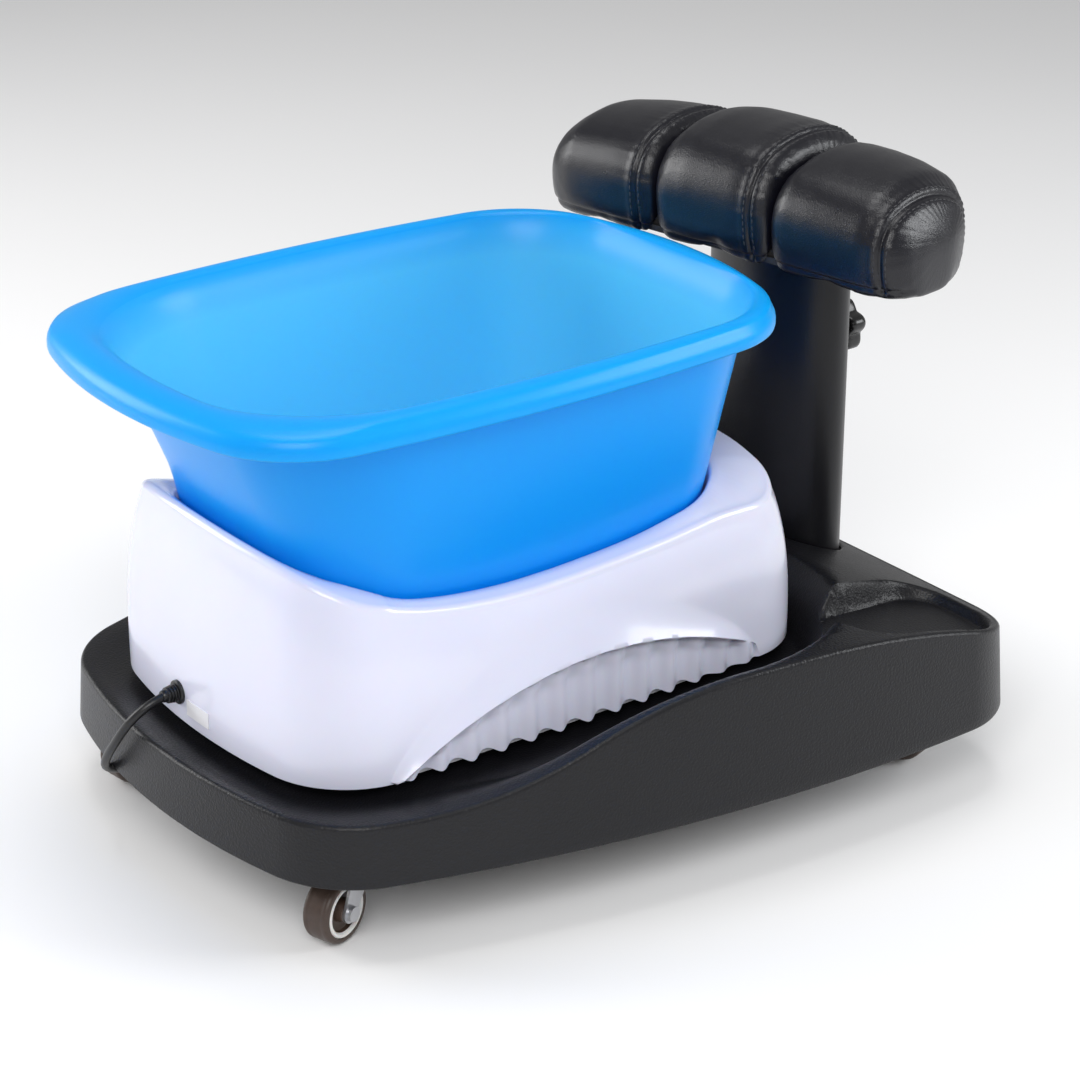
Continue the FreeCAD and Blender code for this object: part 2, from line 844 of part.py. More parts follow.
# Pads: lofts through upright sections, each a line and three arcs, drawn in from front and rear
def pad_section(y, front_inset, rear_inset, height):
    front = pad_front + front_inset
    rear = pad_rear - rear_inset
    middle = (front + rear) / 2
    half = (rear - front) / 2
    low = pad_bottom
    bottom_front = (front + pad_tuck, y, low)
    bottom_rear = (rear - pad_tuck, y, low)
    front_shoulder = (middle - half * 0.70, y, low + height * 0.86)
    rear_shoulder = (middle + half * 0.70, y, low + height * 0.86)
    edges = [
        arc(bottom_front, (front, y, low + height * 0.42), front_shoulder),
        arc(front_shoulder, (middle, y, low + height), rear_shoulder),
        arc(rear_shoulder, (rear, y, low + height * 0.42), bottom_rear),
        line(bottom_rear, bottom_front),
    ]
    return closed(edges)


centre_edge = centre_pad_width / 2
side_end = centre_edge + side_pad_width


def make_centre_pad():
    inner = centre_edge - pad_channel
    sections = [
        pad_section(-centre_edge, 6.0, 6.0, centre_pad_height * 0.80),
        pad_section(-inner, 1.0, 1.0, centre_pad_height * 0.96),
        pad_section(0.0, 0.0, 0.0, centre_pad_height),
        pad_section(inner, 1.0, 1.0, centre_pad_height * 0.96),
        pad_section(centre_edge, 6.0, 6.0, centre_pad_height * 0.80),
    ]
    return Part.makeLoft(sections, True, False).cut(footrest_board_form(0.0))


# A side pad's outer end is square in front and well rounded behind
def make_side_pad():
    middle = centre_edge + side_pad_width * 0.5
    sections = [
        pad_section(centre_edge, 6.0, 6.0, centre_pad_height * 0.80),
        pad_section(centre_edge + pad_channel, 2.0, 2.0, side_pad_height * 1.05),
        pad_section(middle, 1.0, 3.0, side_pad_height),
        pad_section(side_end - pad_channel * 2, 2.0, 14.0, side_pad_height * 0.92),
        pad_section(side_end - pad_channel, 4.0, 30.0, side_pad_height * 0.80),
        pad_section(side_end, 12.0, 52.0, side_pad_height * 0.52),
    ]
    return Part.makeLoft(sections, True, False).cut(footrest_board_form(0.0))


# The round post lets the whole footrest stand a little turned
def turned(shape):
    placed = shape.copy()
    placed.rotate(Vector(column_x, 0, 0), Vector(0, 0, 1), footrest_turn)
    return placed


# Clamp: nut in the wall, shoe against the post, stud and lobed knob
def clamp_nut_face():
    return column_inner_rear(clamp_height) - clamp_nut_height


def make_clamp_nut():
    rear = column_inner_rear(clamp_height) + 1.0
    nut = cylinder(clamp_nut_radius, (clamp_nut_face(), 0, clamp_height), (1, 0, 0), rear - clamp_nut_face())
    nut = nut.common(column_form(column_wall, clamp_height - column_wall * 6, clamp_height + column_wall * 6))
    return nut.cut(cylinder(stud_radius + running_gap, (column_x, 0, clamp_height), (1, 0, 0), column_depth))


def make_clamp_shoe():
    front = column_x + post_radius + seat_gap
    shoe = cylinder(shoe_radius, (column_x + post_radius * 0.8, 0, clamp_height), (1, 0, 0), shoe_thickness + post_radius * 0.2)
    groove = cylinder(post_radius + seat_gap, (column_x, 0, clamp_height - shoe_radius - 1), (0, 0, 1), 2 * shoe_radius + 2)
    limit = block(
        (column_x, -shoe_radius, clamp_height - shoe_radius),
        (front + shoe_thickness, shoe_radius, clamp_height + shoe_radius))
    return shoe.common(limit).cut(groove)


def shoe_rear():
    return column_x + post_radius + seat_gap + shoe_thickness


def make_clamp_stud():
    return cylinder(stud_radius, (shoe_rear(), 0, clamp_height), (1, 0, 0), knob_front + knob_thickness / 2 - shoe_rear())


def make_clamp_knob():
    start = (knob_front, 0, clamp_height)
    lobes = [cylinder(knob_radius - knob_lobe_radius, start, (1, 0, 0), knob_thickness)]
    for k in range(knob_lobes):
        turn = 2 * math.pi * k / knob_lobes + math.pi / 2
        reach = knob_radius - knob_lobe_radius
        centre = (knob_front, reach * math.cos(turn), clamp_height + reach * math.sin(turn))
        lobes.append(cylinder(knob_lobe_radius, centre, (1, 0, 0), knob_thickness))
    neck_length = knob_neck_length - clamp_pitch
    neck = cylinder(knob_neck_radius, (knob_front - neck_length, 0, clamp_height), (1, 0, 0), neck_length)
    knob = fuse_all(lobes + [neck])
    return knob.cut(cylinder(stud_radius, (column_x, 0, clamp_height), (1, 0, 0), knob_front + knob_thickness / 2 - column_x))


# Cradle unit: outer form with a dipped top
unit_outline = (
    unit_front, unit_rear, unit_half_width, unit_side_x, unit_side_radius,
    unit_front_radius, unit_rear_radius, unit_front_corner, unit_rear_corner,
)
unit_full_height = unit_height_front + 4.0


def under_unit_top(drop):
    front = unit_bottom + unit_height_front - drop
    middle = unit_bottom + unit_height_middle - drop
    rear = unit_bottom + unit_height_rear - drop
    y = -beyond
    start_x = unit_front - 20
    end_x = unit_rear + 20
    edges = [
        line((start_x, y, 0), (start_x, y, front)),
        line((start_x, y, front), (unit_dip_front_x, y, front)),
        arc((unit_dip_front_x, y, front), (unit_dip_middle_x, y, middle), (unit_dip_rear_x, y, rear)),
        line((unit_dip_rear_x, y, rear), (end_x, y, rear)),
        line((end_x, y, rear), (end_x, y, 0)),
        line((end_x, y, 0), (start_x, y, 0)),
    ]
    return prism(closed(edges), Vector(0, 2 * beyond, 0))


# Cradle wall: nearly upright for a third of its height, then leaning in to the full draft
def unit_inset(height):
    share = (height - unit_bottom) / unit_full_height
    foot = unit_upright_share * unit_upright_draft
    if share <= unit_upright_share:
        return unit_upright_draft * share
    return foot + (unit_draft - foot) * (share - unit_upright_share) / (1 - unit_upright_share)


def unit_form(inset, drop, low):
    bend = unit_bottom + unit_full_height * unit_upright_share
    top = unit_bottom + unit_full_height
    foot = slab(unit_outline, low, bend, inset + unit_inset(low), inset + unit_inset(bend))
    body = slab(unit_outline, bend, top, inset + unit_inset(bend), inset + unit_inset(top))
    return foot.fuse(body).removeSplitter().common(under_unit_top(drop))


# Basin outlines: the wall and the wider rim
wall_outline = (
    basin_wall_front, basin_wall_rear, basin_wall_half_width, basin_wall_side_x, basin_wall_side_radius,
    basin_wall_front_radius, basin_wall_rear_radius, basin_wall_front_corner, basin_wall_rear_corner,
)
rim_outline = (
    rim_front, rim_rear, rim_half_width, rim_side_x, rim_side_radius,
    rim_front_radius, rim_rear_radius, rim_front_corner, rim_rear_corner,
)


def wall_inset(height):
    return basin_wall_draft * (basin_rim_height - height) / (basin_rim_height - basin_floor_height)


def make_basin():
    wall_top = basin_rim_height - basin_wall / 2
    outer = slab(wall_outline, basin_floor_height, wall_top, wall_inset(basin_floor_height), wall_inset(wall_top))
    rim_edge = slab(rim_outline, rim_low, rim_low + rim_edge_height, 0.0, 0.0)
    rim_slope = Part.makeLoft([
        oval(rim_outline, 0.0, rim_low + rim_edge_height), oval(wall_outline, -rim_crest_run, basin_rim_height)], True, True)
    under_edge = slab(rim_outline, rim_low - 1, rim_low + rim_edge_height - basin_wall, basin_wall, basin_wall)
    under_slope = Part.makeLoft([
        oval(rim_outline, basin_wall, rim_low + rim_edge_height - basin_wall),
        oval(wall_outline, -rim_crest_run, basin_rim_height - basin_wall)], True, True)
    rim = fuse_all([rim_edge, rim_slope]).cut(under_edge).cut(under_slope)
    body = fuse_all([outer, rim])
    inside_floor = basin_floor_height + basin_wall
    hollow = slab(
        wall_outline, inside_floor, basin_rim_height + 1,
        wall_inset(inside_floor) + basin_wall, wall_inset(basin_rim_height) + basin_wall)
    return body.cut(hollow)


# The cradle's well, a cup that follows the basin's wall and keeps the wiring dry
def well_form(grown, low):
    high = unit_bottom + unit_full_height + 1
    return slab(wall_outline, low, high, wall_inset(low) - opening_gap - grown, wall_inset(high) - opening_gap - grown)


def arch_region(rise, low):
    y = 0
    left = (arch_centre_x - arch_half_width, y, low)
    right = (arch_centre_x + arch_half_width, y, low)
    edges = [arc(left, (arch_centre_x, y, unit_bottom + rise), right), line(right, left)]
    return prism(closed(edges), Vector(0, beyond, 0))


def make_side_relief():
    skin = unit_form(-arch_proud, 0.0, unit_bottom).cut(unit_form(-0.01, 0.0, unit_bottom))
    band = arch_region(arch_outer_rise, unit_bottom).cut(arch_region(arch_inner_rise, unit_bottom))
    band = band.common(skin)
    thin_skin = unit_form(-rib_proud, 0.0, unit_bottom)
    combs = []
    for k in range(rib_count):
        x = arch_centre_x + (k - (rib_count - 1) / 2) * rib_pitch
        combs.append(block((x - rib_width / 2, 0, unit_bottom), (x + rib_width / 2, beyond, unit_bottom + arch_outer_rise)))
    ribs = Part.makeCompound(combs).common(arch_region(arch_inner_rise, unit_bottom)).common(thin_skin)
    return [band] + ribs.Solids


def side_wall_y(x, z):
    return unit_half_width - unit_inset(z) - (x - unit_side_x) ** 2 / (2 * unit_side_radius)


def switch_hole(grown):
    half_length = switch_length / 2 + grown
    half_height = switch_height / 2 + grown
    wall_y = side_wall_y(switch_x, switch_z)
    return block(
        (switch_x - half_length, wall_y + switch_proud - switch_depth, switch_z - half_height),
        (switch_x + half_length, wall_y + switch_proud, switch_z + half_height))


def gland_wall_x():
    return unit_front + unit_inset(gland_height)


def make_unit_housing():
    solid = unit_form(0.0, 0.0, unit_bottom)
    relief = [piece for piece in make_side_relief()]
    relief = relief + [mirrored(piece) for piece in relief]
    solid = fuse_all([solid] + relief)
    hollow = unit_form(unit_wall, unit_top_wall, unit_bottom)
    well = well_form(unit_wall, well_bottom).common(unit_form(unit_wall / 2, 0.0, unit_bottom))
    shell = fuse_all([solid.cut(hollow), well]).cut(well_form(0.0, heater_bottom))
    shell = shell.cut(switch_hole(0.2))
    gland_hole = cylinder(gland_sleeve_radius, (unit_front - 10, gland_y, gland_height), (1, 0, 0), 40)
    return shell.cut(gland_hole)


def feet_places():
    return [(unit_side_x - 10 + i * foot_x, j * foot_y) for i in (-1, 1) for j in (-1, 1)]


def spacer_places():
    return [(unit_side_x - 10 + i * spacer_x, j * spacer_y) for i in (-1, 1) for j in (-1, 1)]


def make_unit_plate():
    inset = unit_wall + 0.2
    plate = slab(unit_outline, unit_bottom, unit_bottom + unit_plate_thickness, inset + 0.6, inset + 0.6)
    spacers = []
    top = unit_bottom + unit_plate_thickness
    for x, y in spacer_places():
        spacers.append(cylinder(spacer_radius, (x, y, top - 1), (0, 0, 1), well_bottom - seat_gap - top + 1))
    plate = fuse_all([plate] + spacers)
    for x, y in feet_places():
        plate = plate.cut(cylinder(housing_screw_radius, (x, y, unit_bottom), (0, 0, 1), unit_plate_thickness))
    return plate


def make_unit_feet():
    feet = []
    for x, y in feet_places():
        foot = cylinder(foot_radius, (x, y, pocket_floor), (0, 0, 1), unit_lift)
        feet.append(foot.cut(cylinder(housing_screw_radius, (x, y, pocket_floor), (0, 0, 1), unit_lift)))
    return feet


def make_housing_screws():
    screws = []
    for x, y in feet_places():
        head = cylinder(housing_screw_head, (x, y, unit_bottom + unit_plate_thickness), (0, 0, 1), 2)
        shank_length = unit_lift + unit_plate_thickness + 1
        shank = cylinder(housing_screw_radius, (x, y, pocket_floor), (0, 0, 1), shank_length)
        screws.append(fuse_all([head, shank]))
    return screws


def make_heater_plate():
    inset = wall_inset(basin_floor_height) + heater_inset
    return slab(wall_outline, heater_bottom, heater_top, inset, inset)


# Vibration motor on its bracket, with an off centre weight on the shaft
motor_height = unit_bottom + unit_plate_thickness + bracket_sheet + motor_radius + 1.0


def make_motor_body():
    motor = cylinder(motor_radius, (motor_x, motor_y, motor_height), (1, 0, 0), motor_length)
    nose = cylinder(motor_shaft_radius * 2.5, (motor_x + motor_length, motor_y, motor_height), (1, 0, 0), 2)
    motor = fuse_all([motor, nose])
    bore_start = (motor_x + motor_length / 2, motor_y, motor_height)
    return motor.cut(cylinder(motor_shaft_radius + running_gap, bore_start, (1, 0, 0), motor_length))


def make_motor_bracket():
    start_x = motor_x + motor_length / 2 - bracket_length / 2
    base_z = unit_bottom + unit_plate_thickness
    half = motor_radius + 12
    foot = block((start_x, motor_y - half, base_z), (start_x + bracket_length, motor_y + half, base_z + bracket_sheet))
    saddle = block(
        (start_x, motor_y - motor_radius - bracket_sheet, base_z),
        (start_x + bracket_length, motor_y + motor_radius + bracket_sheet, motor_height + motor_radius * 0.6))
    bracket = fuse_all([foot, saddle])
    return bracket.cut(cylinder(motor_radius, (start_x, motor_y, motor_height), (1, 0, 0), bracket_length))


def make_motor_shaft():
    start = (motor_x + motor_length / 2 + 1, motor_y, motor_height)
    return cylinder(motor_shaft_radius, start, (1, 0, 0), motor_length / 2 + motor_shaft_length)


def make_motor_weight():
    start_x = motor_x + motor_length + 2 + seat_gap + 3
    disc = cylinder(weight_radius, (start_x, motor_y, motor_height), (1, 0, 0), weight_thickness)
    upper = block(
        (start_x, motor_y - weight_radius, motor_height + motor_shaft_radius + 1),
        (start_x + weight_thickness, motor_y + weight_radius, motor_height + weight_radius))
    return disc.cut(upper).cut(cylinder(motor_shaft_radius, (start_x, motor_y, motor_height), (1, 0, 0), weight_thickness))


def make_circuit_board():
    half_length = circuit_board_length / 2
    half_width = circuit_board_width / 2
    base_z = unit_bottom + unit_plate_thickness
    low = base_z + circuit_board_lift
    top = low + circuit_board_sheet
    pieces = [block(
        (circuit_board_x - half_length, circuit_board_y - half_width, low),
        (circuit_board_x + half_length, circuit_board_y + half_width, top))]
    for i in (-1, 1):
        for j in (-1, 1):
            place = (circuit_board_x + i * (half_length - 5), circuit_board_y + j * (half_width - 5), base_z)
            pieces.append(cylinder(2.5, place, (0, 0, 1), circuit_board_lift))
    for k in range(3):
        left = circuit_board_x - half_length + 8 + k * (chip_side + 4)
        pieces.append(block(
            (left, circuit_board_y - chip_side / 2, top), (left + chip_side, circuit_board_y + chip_side / 2, top + chip_height)))
    return fuse_all(pieces)


# Switch bezel and rocker
rocker_half_length = switch_length / 2 - switch_wall - working_gap
rocker_half_height = switch_height / 2 - switch_wall - working_gap
switch_face_y = side_wall_y(switch_x, switch_z) + switch_proud
rocker_axis_y = switch_face_y - rocker_thickness / 2


def make_switch_bezel():
    body = switch_hole(0.0)
    well = block(
        (switch_x - switch_length / 2 + switch_wall, switch_face_y - rocker_thickness - 3, switch_z - switch_height / 2 + switch_wall),
        (switch_x + switch_length / 2 - switch_wall, switch_face_y, switch_z + switch_height / 2 - switch_wall))
    pin = cylinder(
        rocker_pin_radius, (switch_x, rocker_axis_y, switch_z - switch_height / 2 + switch_wall / 2),
        (0, 0, 1), switch_height - switch_wall)
    return fuse_all([body.cut(well), pin])


def make_switch_rocker():
    low = switch_z - rocker_half_height
    half = rocker_half_length - 1.2
    outline = Part.makePolygon([
        Vector(switch_x - half, switch_face_y - 4.4, low), Vector(switch_x, switch_face_y - rocker_thickness, low),
        Vector(switch_x + half, switch_face_y - 2.4, low), Vector(switch_x + half, switch_face_y + 1.2, low),
        Vector(switch_x, switch_face_y - 1.4, low), Vector(switch_x - half, switch_face_y - 0.8, low),
        Vector(switch_x - half, switch_face_y - 4.4, low),
    ])
    rocker = prism(outline, Vector(0, 0, 2 * rocker_half_height))
    return rocker.cut(cylinder(rocker_pin_radius + running_gap, (switch_x, rocker_axis_y, low), (0, 0, 1), 2 * rocker_half_height))


# Cord gland and the blank plate on the cradle's front wall
def make_cord_gland():
    wall_x = gland_wall_x()
    flange = cylinder(gland_flange_radius, (wall_x - gland_flange_thickness - 1.2, gland_y, gland_height), (1, 0, 0), gland_flange_thickness)
    sleeve = cylinder(gland_sleeve_radius, (wall_x - 1.4, gland_y, gland_height), (1, 0, 0), unit_wall + 6)
    taper = Part.makeCone(
        gland_tip_radius, gland_sleeve_radius, gland_length - gland_flange_thickness,
        Vector(wall_x - gland_length, gland_y, gland_height), Vector(1, 0, 0))
    gland = fuse_all([flange, sleeve, taper])
    return gland.cut(cylinder(cord_diameter / 2, (wall_x - gland_length - 1, gland_y, gland_height), (1, 0, 0), 2 * gland_length))


def make_label_plate():
    wall_x = unit_front + unit_inset(label_z + label_height / 2)
    band = unit_form(-label_thickness, 0.0, unit_bottom).cut(unit_form(0.0, 0.0, unit_bottom))
    window = block(
        (wall_x - 12, label_y - label_width / 2, label_z - label_height / 2),
        (wall_x + 12, label_y + label_width / 2, label_z + label_height / 2))
    return band.common(window)


# Mains lead: straight runs joined by tangent arcs, then a two layer coil and a plug
cord_radius = cord_diameter / 2
cord_start_x = gland_wall_x() - gland_length
coil_low = cord_radius + 0.2
coil_outer_radius = coil_inner_radius + coil_turns_per_layer * coil_pitch
coil_tail_step = plug_width / 2 + cord_diameter

cord_points = [
    (cord_start_x, gland_y, gland_height),
    (cord_start_x - 6.5, gland_y - 0.1, gland_height - 1.2),
    (-194.4, 13.9, 105.6),
    (-200.8, 17.0, 99.8),
    (-205.0, 23.0, 90.4),
    (-207.0, 32.4, 77.4),
    (-207.0, 43.0, 65.0),
    (-204.5, 52.5, 54.0),
    (-198.0, 60.0, 46.0),
    (-187.0, 65.5, 40.0),
    (-171.0, 69.5, 31.5),
    (-153.0, 70.5, 19.5),
    (-135.0, 67.5, 8.6),
    (-116.0, 60.0, coil_low + 0.2),
    (-101.0, 48.0, coil_low),
    (coil_x - coil_outer_radius - 1.6, 32.0, coil_low),
]


def rounded_route(points):
    corners = [Vector(*point) for point in points]
    edges = []
    radii = []
    last = corners[0]
    for i in range(1, len(corners) - 1):
        here = corners[i]
        back = corners[i - 1] - here
        ahead = corners[i + 1] - here
        shorter = min(back.Length, ahead.Length)
        turn = math.pi - back.getAngle(ahead)
        reach = 0.45 * shorter
        radius = reach / math.tan(turn / 2)
        radii.append(round(radius, 1))
        back.normalize()
        ahead.normalize()
        start = here + back * reach
        end = here + ahead * reach
        depth = radius / math.cos(turn / 2) - radius
        via = here + (back + ahead).normalize() * depth
        edges.append(Part.makeLine(last, start))
        edges.append(Part.Arc(start, via, end).toShape())
        last = end
    edges.append(Part.makeLine(last, corners[-1]))
    return Part.Wire(edges), radii


def swept_tube(path, start, direction):
    circle = Part.Wire([Part.Circle(start, direction, cord_radius).toShape()])
    return path.makePipeShell([circle], True, False)


def make_cord_lead(points):
    path, radii = rounded_route(points)
    start = Vector(*points[0])
    tube_solid = swept_tube(path, start, Vector(*points[1]) - start)
    expected = math.pi * cord_radius ** 2 * path.Length
    print("cord lead length", round(path.Length, 1), "volume share", round(tube_solid.Volume / expected, 4))
    print("cord lead radii", radii)
    return tube_solid


# A pair of tangent arcs between two points with given directions
def tangent_arc(start, direction, end):
    chord = end - start
    aside = chord - direction * chord.dot(direction)
    radius = chord.dot(chord) / (2 * aside.Length)
    middle = start + aside.normalize() * radius
    halfway = (start + end) * 0.5 - middle
    via = middle + halfway.normalize() * radius
    return Part.Arc(start, via, end).toShape()


def two_arcs(start, start_direction, end, end_direction):
    chord = end - start
    spread = 2 * (1 - start_direction.dot(end_direction))
    lean = chord.dot(start_direction + end_direction)
    reach = (-lean + math.sqrt(lean ** 2 + spread * chord.dot(chord))) / spread
    joint = (start + end + (start_direction - end_direction) * reach) * 0.5
    first = tangent_arc(start, start_direction, joint)
    joint_direction = (joint - (start + start_direction * reach)).normalize()
    second = tangent_arc(joint, joint_direction, end)
    return [first, second]


def coil_path():
    half_pitch = coil_pitch / 2
    edges = []
    radius = coil_outer_radius
    height = coil_low
    side = -1
    point = Vector(coil_x - radius, coil_y, height)
    direction = Vector(0, -1, 0)
    lead_in = point - direction * cord_diameter
    edges.append(Part.makeLine(lead_in, point))
    total = 4 * coil_turns_per_layer + 1
    for k in range(total):
        climbing = k == 2 * coil_turns_per_layer
        beside_climb = abs(k - 2 * coil_turns_per_layer) == 1
        step = coil_pitch if beside_climb else half_pitch
        if k == total - 1:
            step = coil_tail_step
        if not climbing:
            radius = radius - step if k < 2 * coil_turns_per_layer else radius + step
        if climbing:
            height = height + coil_pitch
        side = -side
        target = Vector(coil_x + side * radius, coil_y, height)
        new_direction = direction * -1
        edges = edges + two_arcs(point, direction, target, new_direction)
        point = target
        direction = new_direction
    edges.append(Part.makeLine(point, point + direction * cord_diameter))
    return Part.Wire(edges), lead_in, point + direction * cord_diameter, direction


def least_self_gap(path):
    points = path.discretize(Distance=2.0)
    step = path.Length / (len(points) - 1)
    skip = int(4 * cord_diameter / step)
    least = min(
        points[i].distanceToPoint(points[j])
        for i in range(len(points)) for j in range(i + skip, len(points)))
    return least - cord_diameter


def make_cord_coil():
    path, start, end, direction = coil_path()
    solid = swept_tube(path, start, Vector(0, -1, 0))
    expected = math.pi * cord_radius ** 2 * path.Length
    print("cord coil length", round(path.Length, 1), "volume share", round(solid.Volume / expected, 4))
    print("cord coil least self gap", round(least_self_gap(path), 2))
    return solid, start, end, direction


def make_cord_tie():
    outer = coil_outer_radius - coil_pitch / 2 + cord_radius + 0.4
    inner = coil_inner_radius - coil_pitch / 2 - cord_radius - 0.4
    height = 2 * coil_pitch
    low = 0.1
    thick = tie_thickness
    loop = block((coil_x + inner - thick, coil_y - tie_width / 2, low), (coil_x + outer + thick, coil_y + tie_width / 2, low + height + thick))
    window = block((coil_x + inner, coil_y - tie_width / 2, low), (coil_x + outer, coil_y + tie_width / 2, low + height))
    return loop.cut(window)


def make_mains_plug(start, direction):
    inner = start
    middle = start + direction * (plug_length / 2)
    sign = 1 if direction.y > 0 else -1
    low_y = min(start.y, start.y + sign * plug_length)
    body = block(
        (start.x - plug_width / 2, low_y, start.z - plug_height / 2),
        (start.x + plug_width / 2, low_y + plug_length, start.z + plug_height / 2))
    uprights = [edge for edge in body.Edges if abs(edge.Vertexes[0].Z - edge.Vertexes[1].Z) > plug_height / 2]
    body = body.makeFillet(plug_height / 2.4, uprights)
    pins = []
    for k in (-1, 1):
        place = (start.x + k * plug_pin_spacing / 2, start.y + sign * (plug_length - 1), start.z)
        pins.append(cylinder(plug_pin_radius, place, (0, sign, 0), plug_pin_length + 1))
    return fuse_all([body] + pins)


# Building every node
def build():
    save("base_shell", make_base_shell())
    save("base_board", make_base_board())
    save("board_screws", *make_board_screws())
    for number, (x, y) in enumerate(caster_places(), start=1):
        ending = "_" + str(number)
        swivel = caster_swivels[number - 1]
        save("caster_plate" + ending, make_caster_plate(x, y))
        save("caster_fork" + ending, swivelled(make_caster_fork(x, y), x, y, swivel))
        save("caster_axle" + ending, swivelled(make_caster_axle(x, y), x, y, swivel))
        save("wheel_core" + ending, swivelled(make_wheel_core(x, y), x, y, swivel))
        save("wheel_tyre" + ending, swivelled(make_wheel_tyre(x, y), x, y, swivel))
    save("caster_screws", *make_caster_screws())
    save("column_flange", make_column_flange())
    save("column_bolts", *make_column_bolts())
    save("column_tube", make_column_tube())
    save("column_bush", make_column_bush())
    save("footrest_post", make_footrest_post())
    save("head_plate", turned(make_head_plate()))
    save("head_screws", *[turned(screw) for screw in make_head_screws()])
    save("footrest_board", turned(make_footrest_board()))
    save("pad_centre", turned(make_centre_pad()))
    side_pad = make_side_pad()
    save("pad_far", turned(side_pad))
    save("pad_near", turned(mirrored(side_pad)))
    save("clamp_nut", make_clamp_nut())
    save("clamp_shoe", make_clamp_shoe())
    save("clamp_stud", make_clamp_stud())
    save("clamp_knob", make_clamp_knob())
    save("unit_housing", make_unit_housing())
    save("unit_plate", make_unit_plate())
    save("unit_feet", *make_unit_feet())
    save("housing_screws", *make_housing_screws())
    save("heater_plate", make_heater_plate())
    save("motor_body", make_motor_body())
    save("motor_bracket", make_motor_bracket())
    save("motor_shaft", make_motor_shaft())
    save("motor_weight", make_motor_weight())
    save("circuit_board", make_circuit_board())
    save("switch_bezel", make_switch_bezel())
    save("switch_rocker", make_switch_rocker())
    save("cord_gland", make_cord_gland())
    save("label_plate", make_label_plate())
    save("basin", make_basin())
    coil, coil_start, coil_end, coil_direction = make_cord_coil()
    save("cord_coil", coil)
    save("cord_lead", make_cord_lead(cord_points + [(coil_start.x, coil_start.y, coil_start.z)]))
    save("cord_tie", make_cord_tie())
    save("mains_plug", make_mains_plug(coil_end, coil_direction))
    print("origin moved by", round(-middle_x, 3))


build()
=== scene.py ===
import math

import bmesh
import bpy
import numpy as np
from mathutils.bvhtree import BVHTree
from mathutils.geometry import delaunay_2d_cdt
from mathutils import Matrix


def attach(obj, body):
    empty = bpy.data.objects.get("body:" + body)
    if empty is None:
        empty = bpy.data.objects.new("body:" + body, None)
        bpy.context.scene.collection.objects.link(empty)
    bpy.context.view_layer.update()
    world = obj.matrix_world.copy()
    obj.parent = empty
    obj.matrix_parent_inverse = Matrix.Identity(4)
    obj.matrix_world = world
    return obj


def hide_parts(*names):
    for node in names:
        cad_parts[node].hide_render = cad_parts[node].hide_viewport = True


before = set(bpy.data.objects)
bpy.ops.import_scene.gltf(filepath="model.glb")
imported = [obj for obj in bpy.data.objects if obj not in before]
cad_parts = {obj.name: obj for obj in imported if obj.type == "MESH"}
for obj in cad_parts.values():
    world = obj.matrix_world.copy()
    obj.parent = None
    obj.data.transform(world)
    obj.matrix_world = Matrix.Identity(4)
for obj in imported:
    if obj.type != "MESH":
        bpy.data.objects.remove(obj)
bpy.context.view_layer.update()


# Camera. It stands where the photograph was taken from, a little over two paces away at the
# front left, looking down by 24 degrees, with no roll and no shift.
camera_data = bpy.data.cameras.new("camera")
camera_data.sensor_width = 36.0
camera_data.lens = 89.97
camera = bpy.data.objects.new("camera", camera_data)
camera.location = (-0.9257, -1.2617, 0.8490)
camera.rotation_euler = (math.radians(65.90), 0.0, math.radians(-36.80))
bpy.context.scene.collection.objects.link(camera)
bpy.context.scene.camera = camera
bpy.context.scene.view_settings.view_transform = "Standard"


# Mains cord. A black PVC flex of 5.5 mm drops from the grommet in the cradle's front wall, goes
# over the edge of the base and down under it, and the rest is wound flat in two layers of three
# turns with its plug beside them. It is one flexible length, moulded into its plug.
def place(points):
    """Working millimetres, counted from under the basin's middle, to metres: x less 69, over 1000."""
    return (np.asarray(points, float) - (69.0, 0.0, 0.0)) / 1000.0


cord_route = [
    (-180.7, 13.0, 110.0), (-187.2, 12.9, 108.8), (-194.4, 13.9, 105.6), (-200.8, 17.0, 99.8),
    (-205.0, 23.0, 90.4), (-207.0, 32.4, 77.4), (-207.0, 43.0, 65.0), (-204.5, 52.5, 54.0),
    (-198.0, 60.0, 46.0), (-187.0, 65.5, 40.0), (-171.0, 69.5, 31.5), (-153.0, 70.5, 19.5),
    (-135.0, 67.5, 8.6), (-116.0, 60.0, 3.15), (-101.0, 48.0, 2.95), (-91.2, 32.0, 2.95),
    (-89.6, 13.5, 2.95), (-89.6, 8.0, 2.95),
]
coil_steps = [3.1] * 5 + [6.2, 0.0, -6.2] + [-3.1] * 4 + [-21.5]
coil_radius = 38.6
coil_height = 2.95
coil_points = [np.array(cord_route)]
for half_turn, step in enumerate(coil_steps):
    share = np.arange(1, 9) / 8.0
    ease = (1.0 - np.cos(np.pi * share)) / 2.0
    angle = np.pi * (1.0 + half_turn + share)
    reach = coil_radius - step * ease
    climb = 6.2 * ease if half_turn == 6 else 0.0 * ease
    coil_points.append(np.stack([
        -51.0 + reach * np.cos(angle), 8.0 + reach * np.sin(angle), coil_height + climb], axis=1))
    coil_radius -= step
    coil_height += climb[-1]
coil_points.append(np.array([(6.0, 13.6, 9.15)]))
cord_line = place(np.concatenate(coil_points))
cord_data = bpy.data.curves.new("mains_cord", "CURVE")
cord_data.dimensions = "3D"
cord_spline = cord_data.splines.new("NURBS")
cord_spline.points.add(len(cord_line) - 1)
cord_spline.points.foreach_set("co", np.column_stack([cord_line, np.ones(len(cord_line))]).ravel())
cord_spline.order_u = 3
cord_spline.use_endpoint_u = True
cord_spline.resolution_u = 6
cord_spline.points.foreach_set("radius", np.full(len(cord_line), 0.00275))
cord_data.bevel_depth = 1.0
